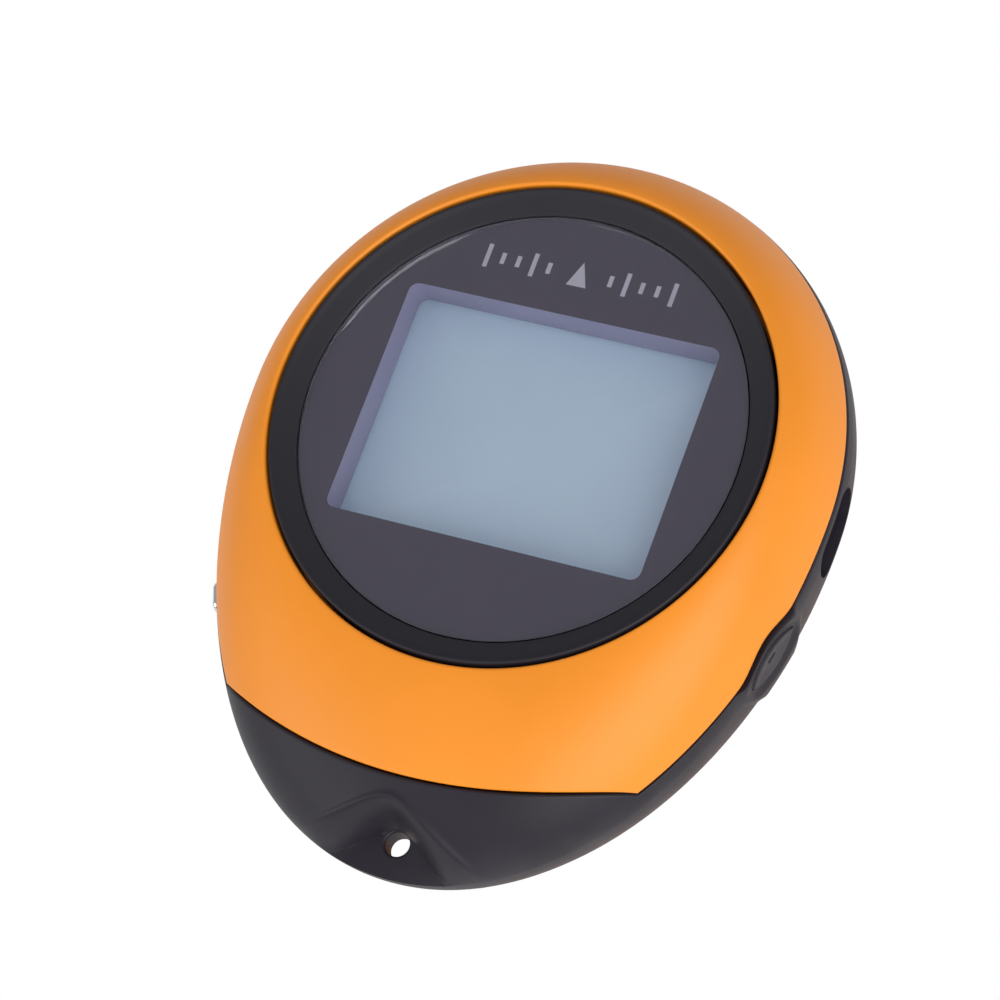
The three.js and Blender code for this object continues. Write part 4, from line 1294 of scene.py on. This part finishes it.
def turned_rows(x, y, profile, count=48):
    """Lathe about an upright axis: x + r cos a and y + r sin a for each (radius, level) row."""
    a = np.linspace(0, 2 * np.pi, count, endpoint=False)
    way = np.stack([np.cos(a), np.sin(a)], -1)
    return np.stack([np.concatenate([way * r + [x, y + CENTRE_Y], np.full((count, 1), z)], 1)
                     for r, z in profile], 1)


def slot_cutter(x, y, width, height, face):
    """Cutter of one slot of the cross: a bar from below the head's face that narrows upwards."""
    low, high = face - SLOT_BELOW, face + SLOT_DEEP
    centre = np.tile([x, y], (4, 1))
    return stacked([(centre, low), (bar(x, y, width, height), low),
                    (bar(x, y, width * SLOT_TAPER, height * SLOT_TAPER), high), (centre, high)])


HEAD_R, HEAD_THICK, HEAD_ROUND, HEAD_GAP = 1.5, 1.1, 0.45, 0.3
SHAFT_R, TIP_R, TIP_START, TIP = 0.8, 0.4, 11.5, 11.8
SLOT_LONG, SLOT_WIDE, SLOT_DEEP, SLOT_BELOW, SLOT_TAPER = 1.9, 0.4, 0.6, 0.1, 0.6
for number, (x, y, seat) in enumerate(SCREWS, 1):
    under = seat - HEAD_GAP
    face = under - HEAD_THICK
    dome = [(HEAD_R - HEAD_ROUND * (1 - np.cos(t)), face + HEAD_ROUND * (1 - np.sin(t)))
            for t in np.radians((90, 60, 30, 0))]
    shaft = [(HEAD_R, under), (SHAFT_R, under), (SHAFT_R, TIP_START), (TIP_R, TIP), (0.0, TIP)]
    screw = add_piece(f"case_screw_{number}_skin",
                      [(turned_rows(x, y, [(0.0, face)] + dome + shaft), False)], "steel",
                      replaces=(f"case_screw_{number}",))
    change_piece(screw, "DIFFERENCE", [slot_cutter(x, y, SLOT_LONG, SLOT_WIDE, face),
                                       slot_cutter(x, y, SLOT_WIDE, SLOT_LONG, face)])
print(len(SCREWS), "case screws")

# %% [markdown]
# ## What stays as the CAD drew it
# Everything under the covers keeps its CAD shape and takes its finish from its slot. Boards, chips
# and sockets are plain blocks on the real object too, so there is nothing to smooth.

# %% Inner nodes
slots = {entry["node"]: entry["material_slot"] for entry in frame["record"]["subparts"]}
for node, piece in frame["nodes"].items():
    piece.data.materials.clear()
    piece.data.materials.append(LOOK[slots[node]])
print("dressed", len(slots), "CAD nodes")

# %% [markdown]
# ## Floor and light
# A white sweep and two large soft lamps: the key stands on the right in front, where the orange is
# brightest, a weaker one fills from the left, and the white surroundings lift the rest.

# %% Floor, world and lamps
FLOOR_HALF, FLOOR_DOWN = 1.5, 0.0001     # metres; just below the part's own land
LAMP_DISTANCE = 0.6


def add_floor():
    """White floor, far larger than the view. Seen directly it glows an even white, so that it has
    no horizon; for reflections and shadows it is matt paper."""
    mesh = bpy.data.meshes.new("floor")
    corners = [(-1, -1), (1, -1), (1, 1), (-1, 1)]
    mesh.from_pydata([(x * FLOOR_HALF, y * FLOOR_HALF, -FLOOR_DOWN) for x, y in corners], [],
                     [(0, 1, 2, 3)])
    floor = add_object("floor", mesh)
    paper = moulded("white sweep", (250, 250, 250), 0.9, 0.02, 800.0, 0.00001, 0.004)
    nodes, links = paper.node_tree.nodes, paper.node_tree.links
    seen, glow = nodes.new("ShaderNodeLightPath"), nodes.new("ShaderNodeEmission")
    mix = nodes.new("ShaderNodeMixShader")
    links.new(seen.outputs["Is Camera Ray"], mix.inputs[0])
    links.new(nodes["Principled BSDF"].outputs[0], mix.inputs[1])
    links.new(glow.outputs[0], mix.inputs[2])
    links.new(mix.outputs[0], nodes["Material Output"].inputs["Surface"])
    mesh.materials.append(paper)


def add_lamp(name, direction, power, size):
    """Square lamp of a power in watts and a size in metres that looks at the object."""
    data = bpy.data.lights.new(name, "AREA")
    data.energy, data.size = power, size
    lamp = add_object(name, data)
    way = Vector(direction).normalized()
    lamp.location = way * LAMP_DISTANCE
    lamp.rotation_euler = way.to_track_quat("Z", "Y").to_euler()


def add_world(strength):
    """Even white surroundings."""
    world = bpy.data.worlds.new("studio")
    bpy.context.scene.world = world
    world.use_nodes = True
    background = world.node_tree.nodes["Background"]
    background.inputs["Color"].default_value = (1.0, 1.0, 1.0, 1.0)
    background.inputs["Strength"].default_value = strength


add_floor()
add_world(0.41)
add_lamp("key", (1.0, -0.58, 0.95), 3.1, 0.5)
add_lamp("fill", (-1.0, -0.8, 0.8), 1.2, 0.4)
bpy.context.scene.view_settings.view_transform = "Standard"
print("floor, world and two lamps")
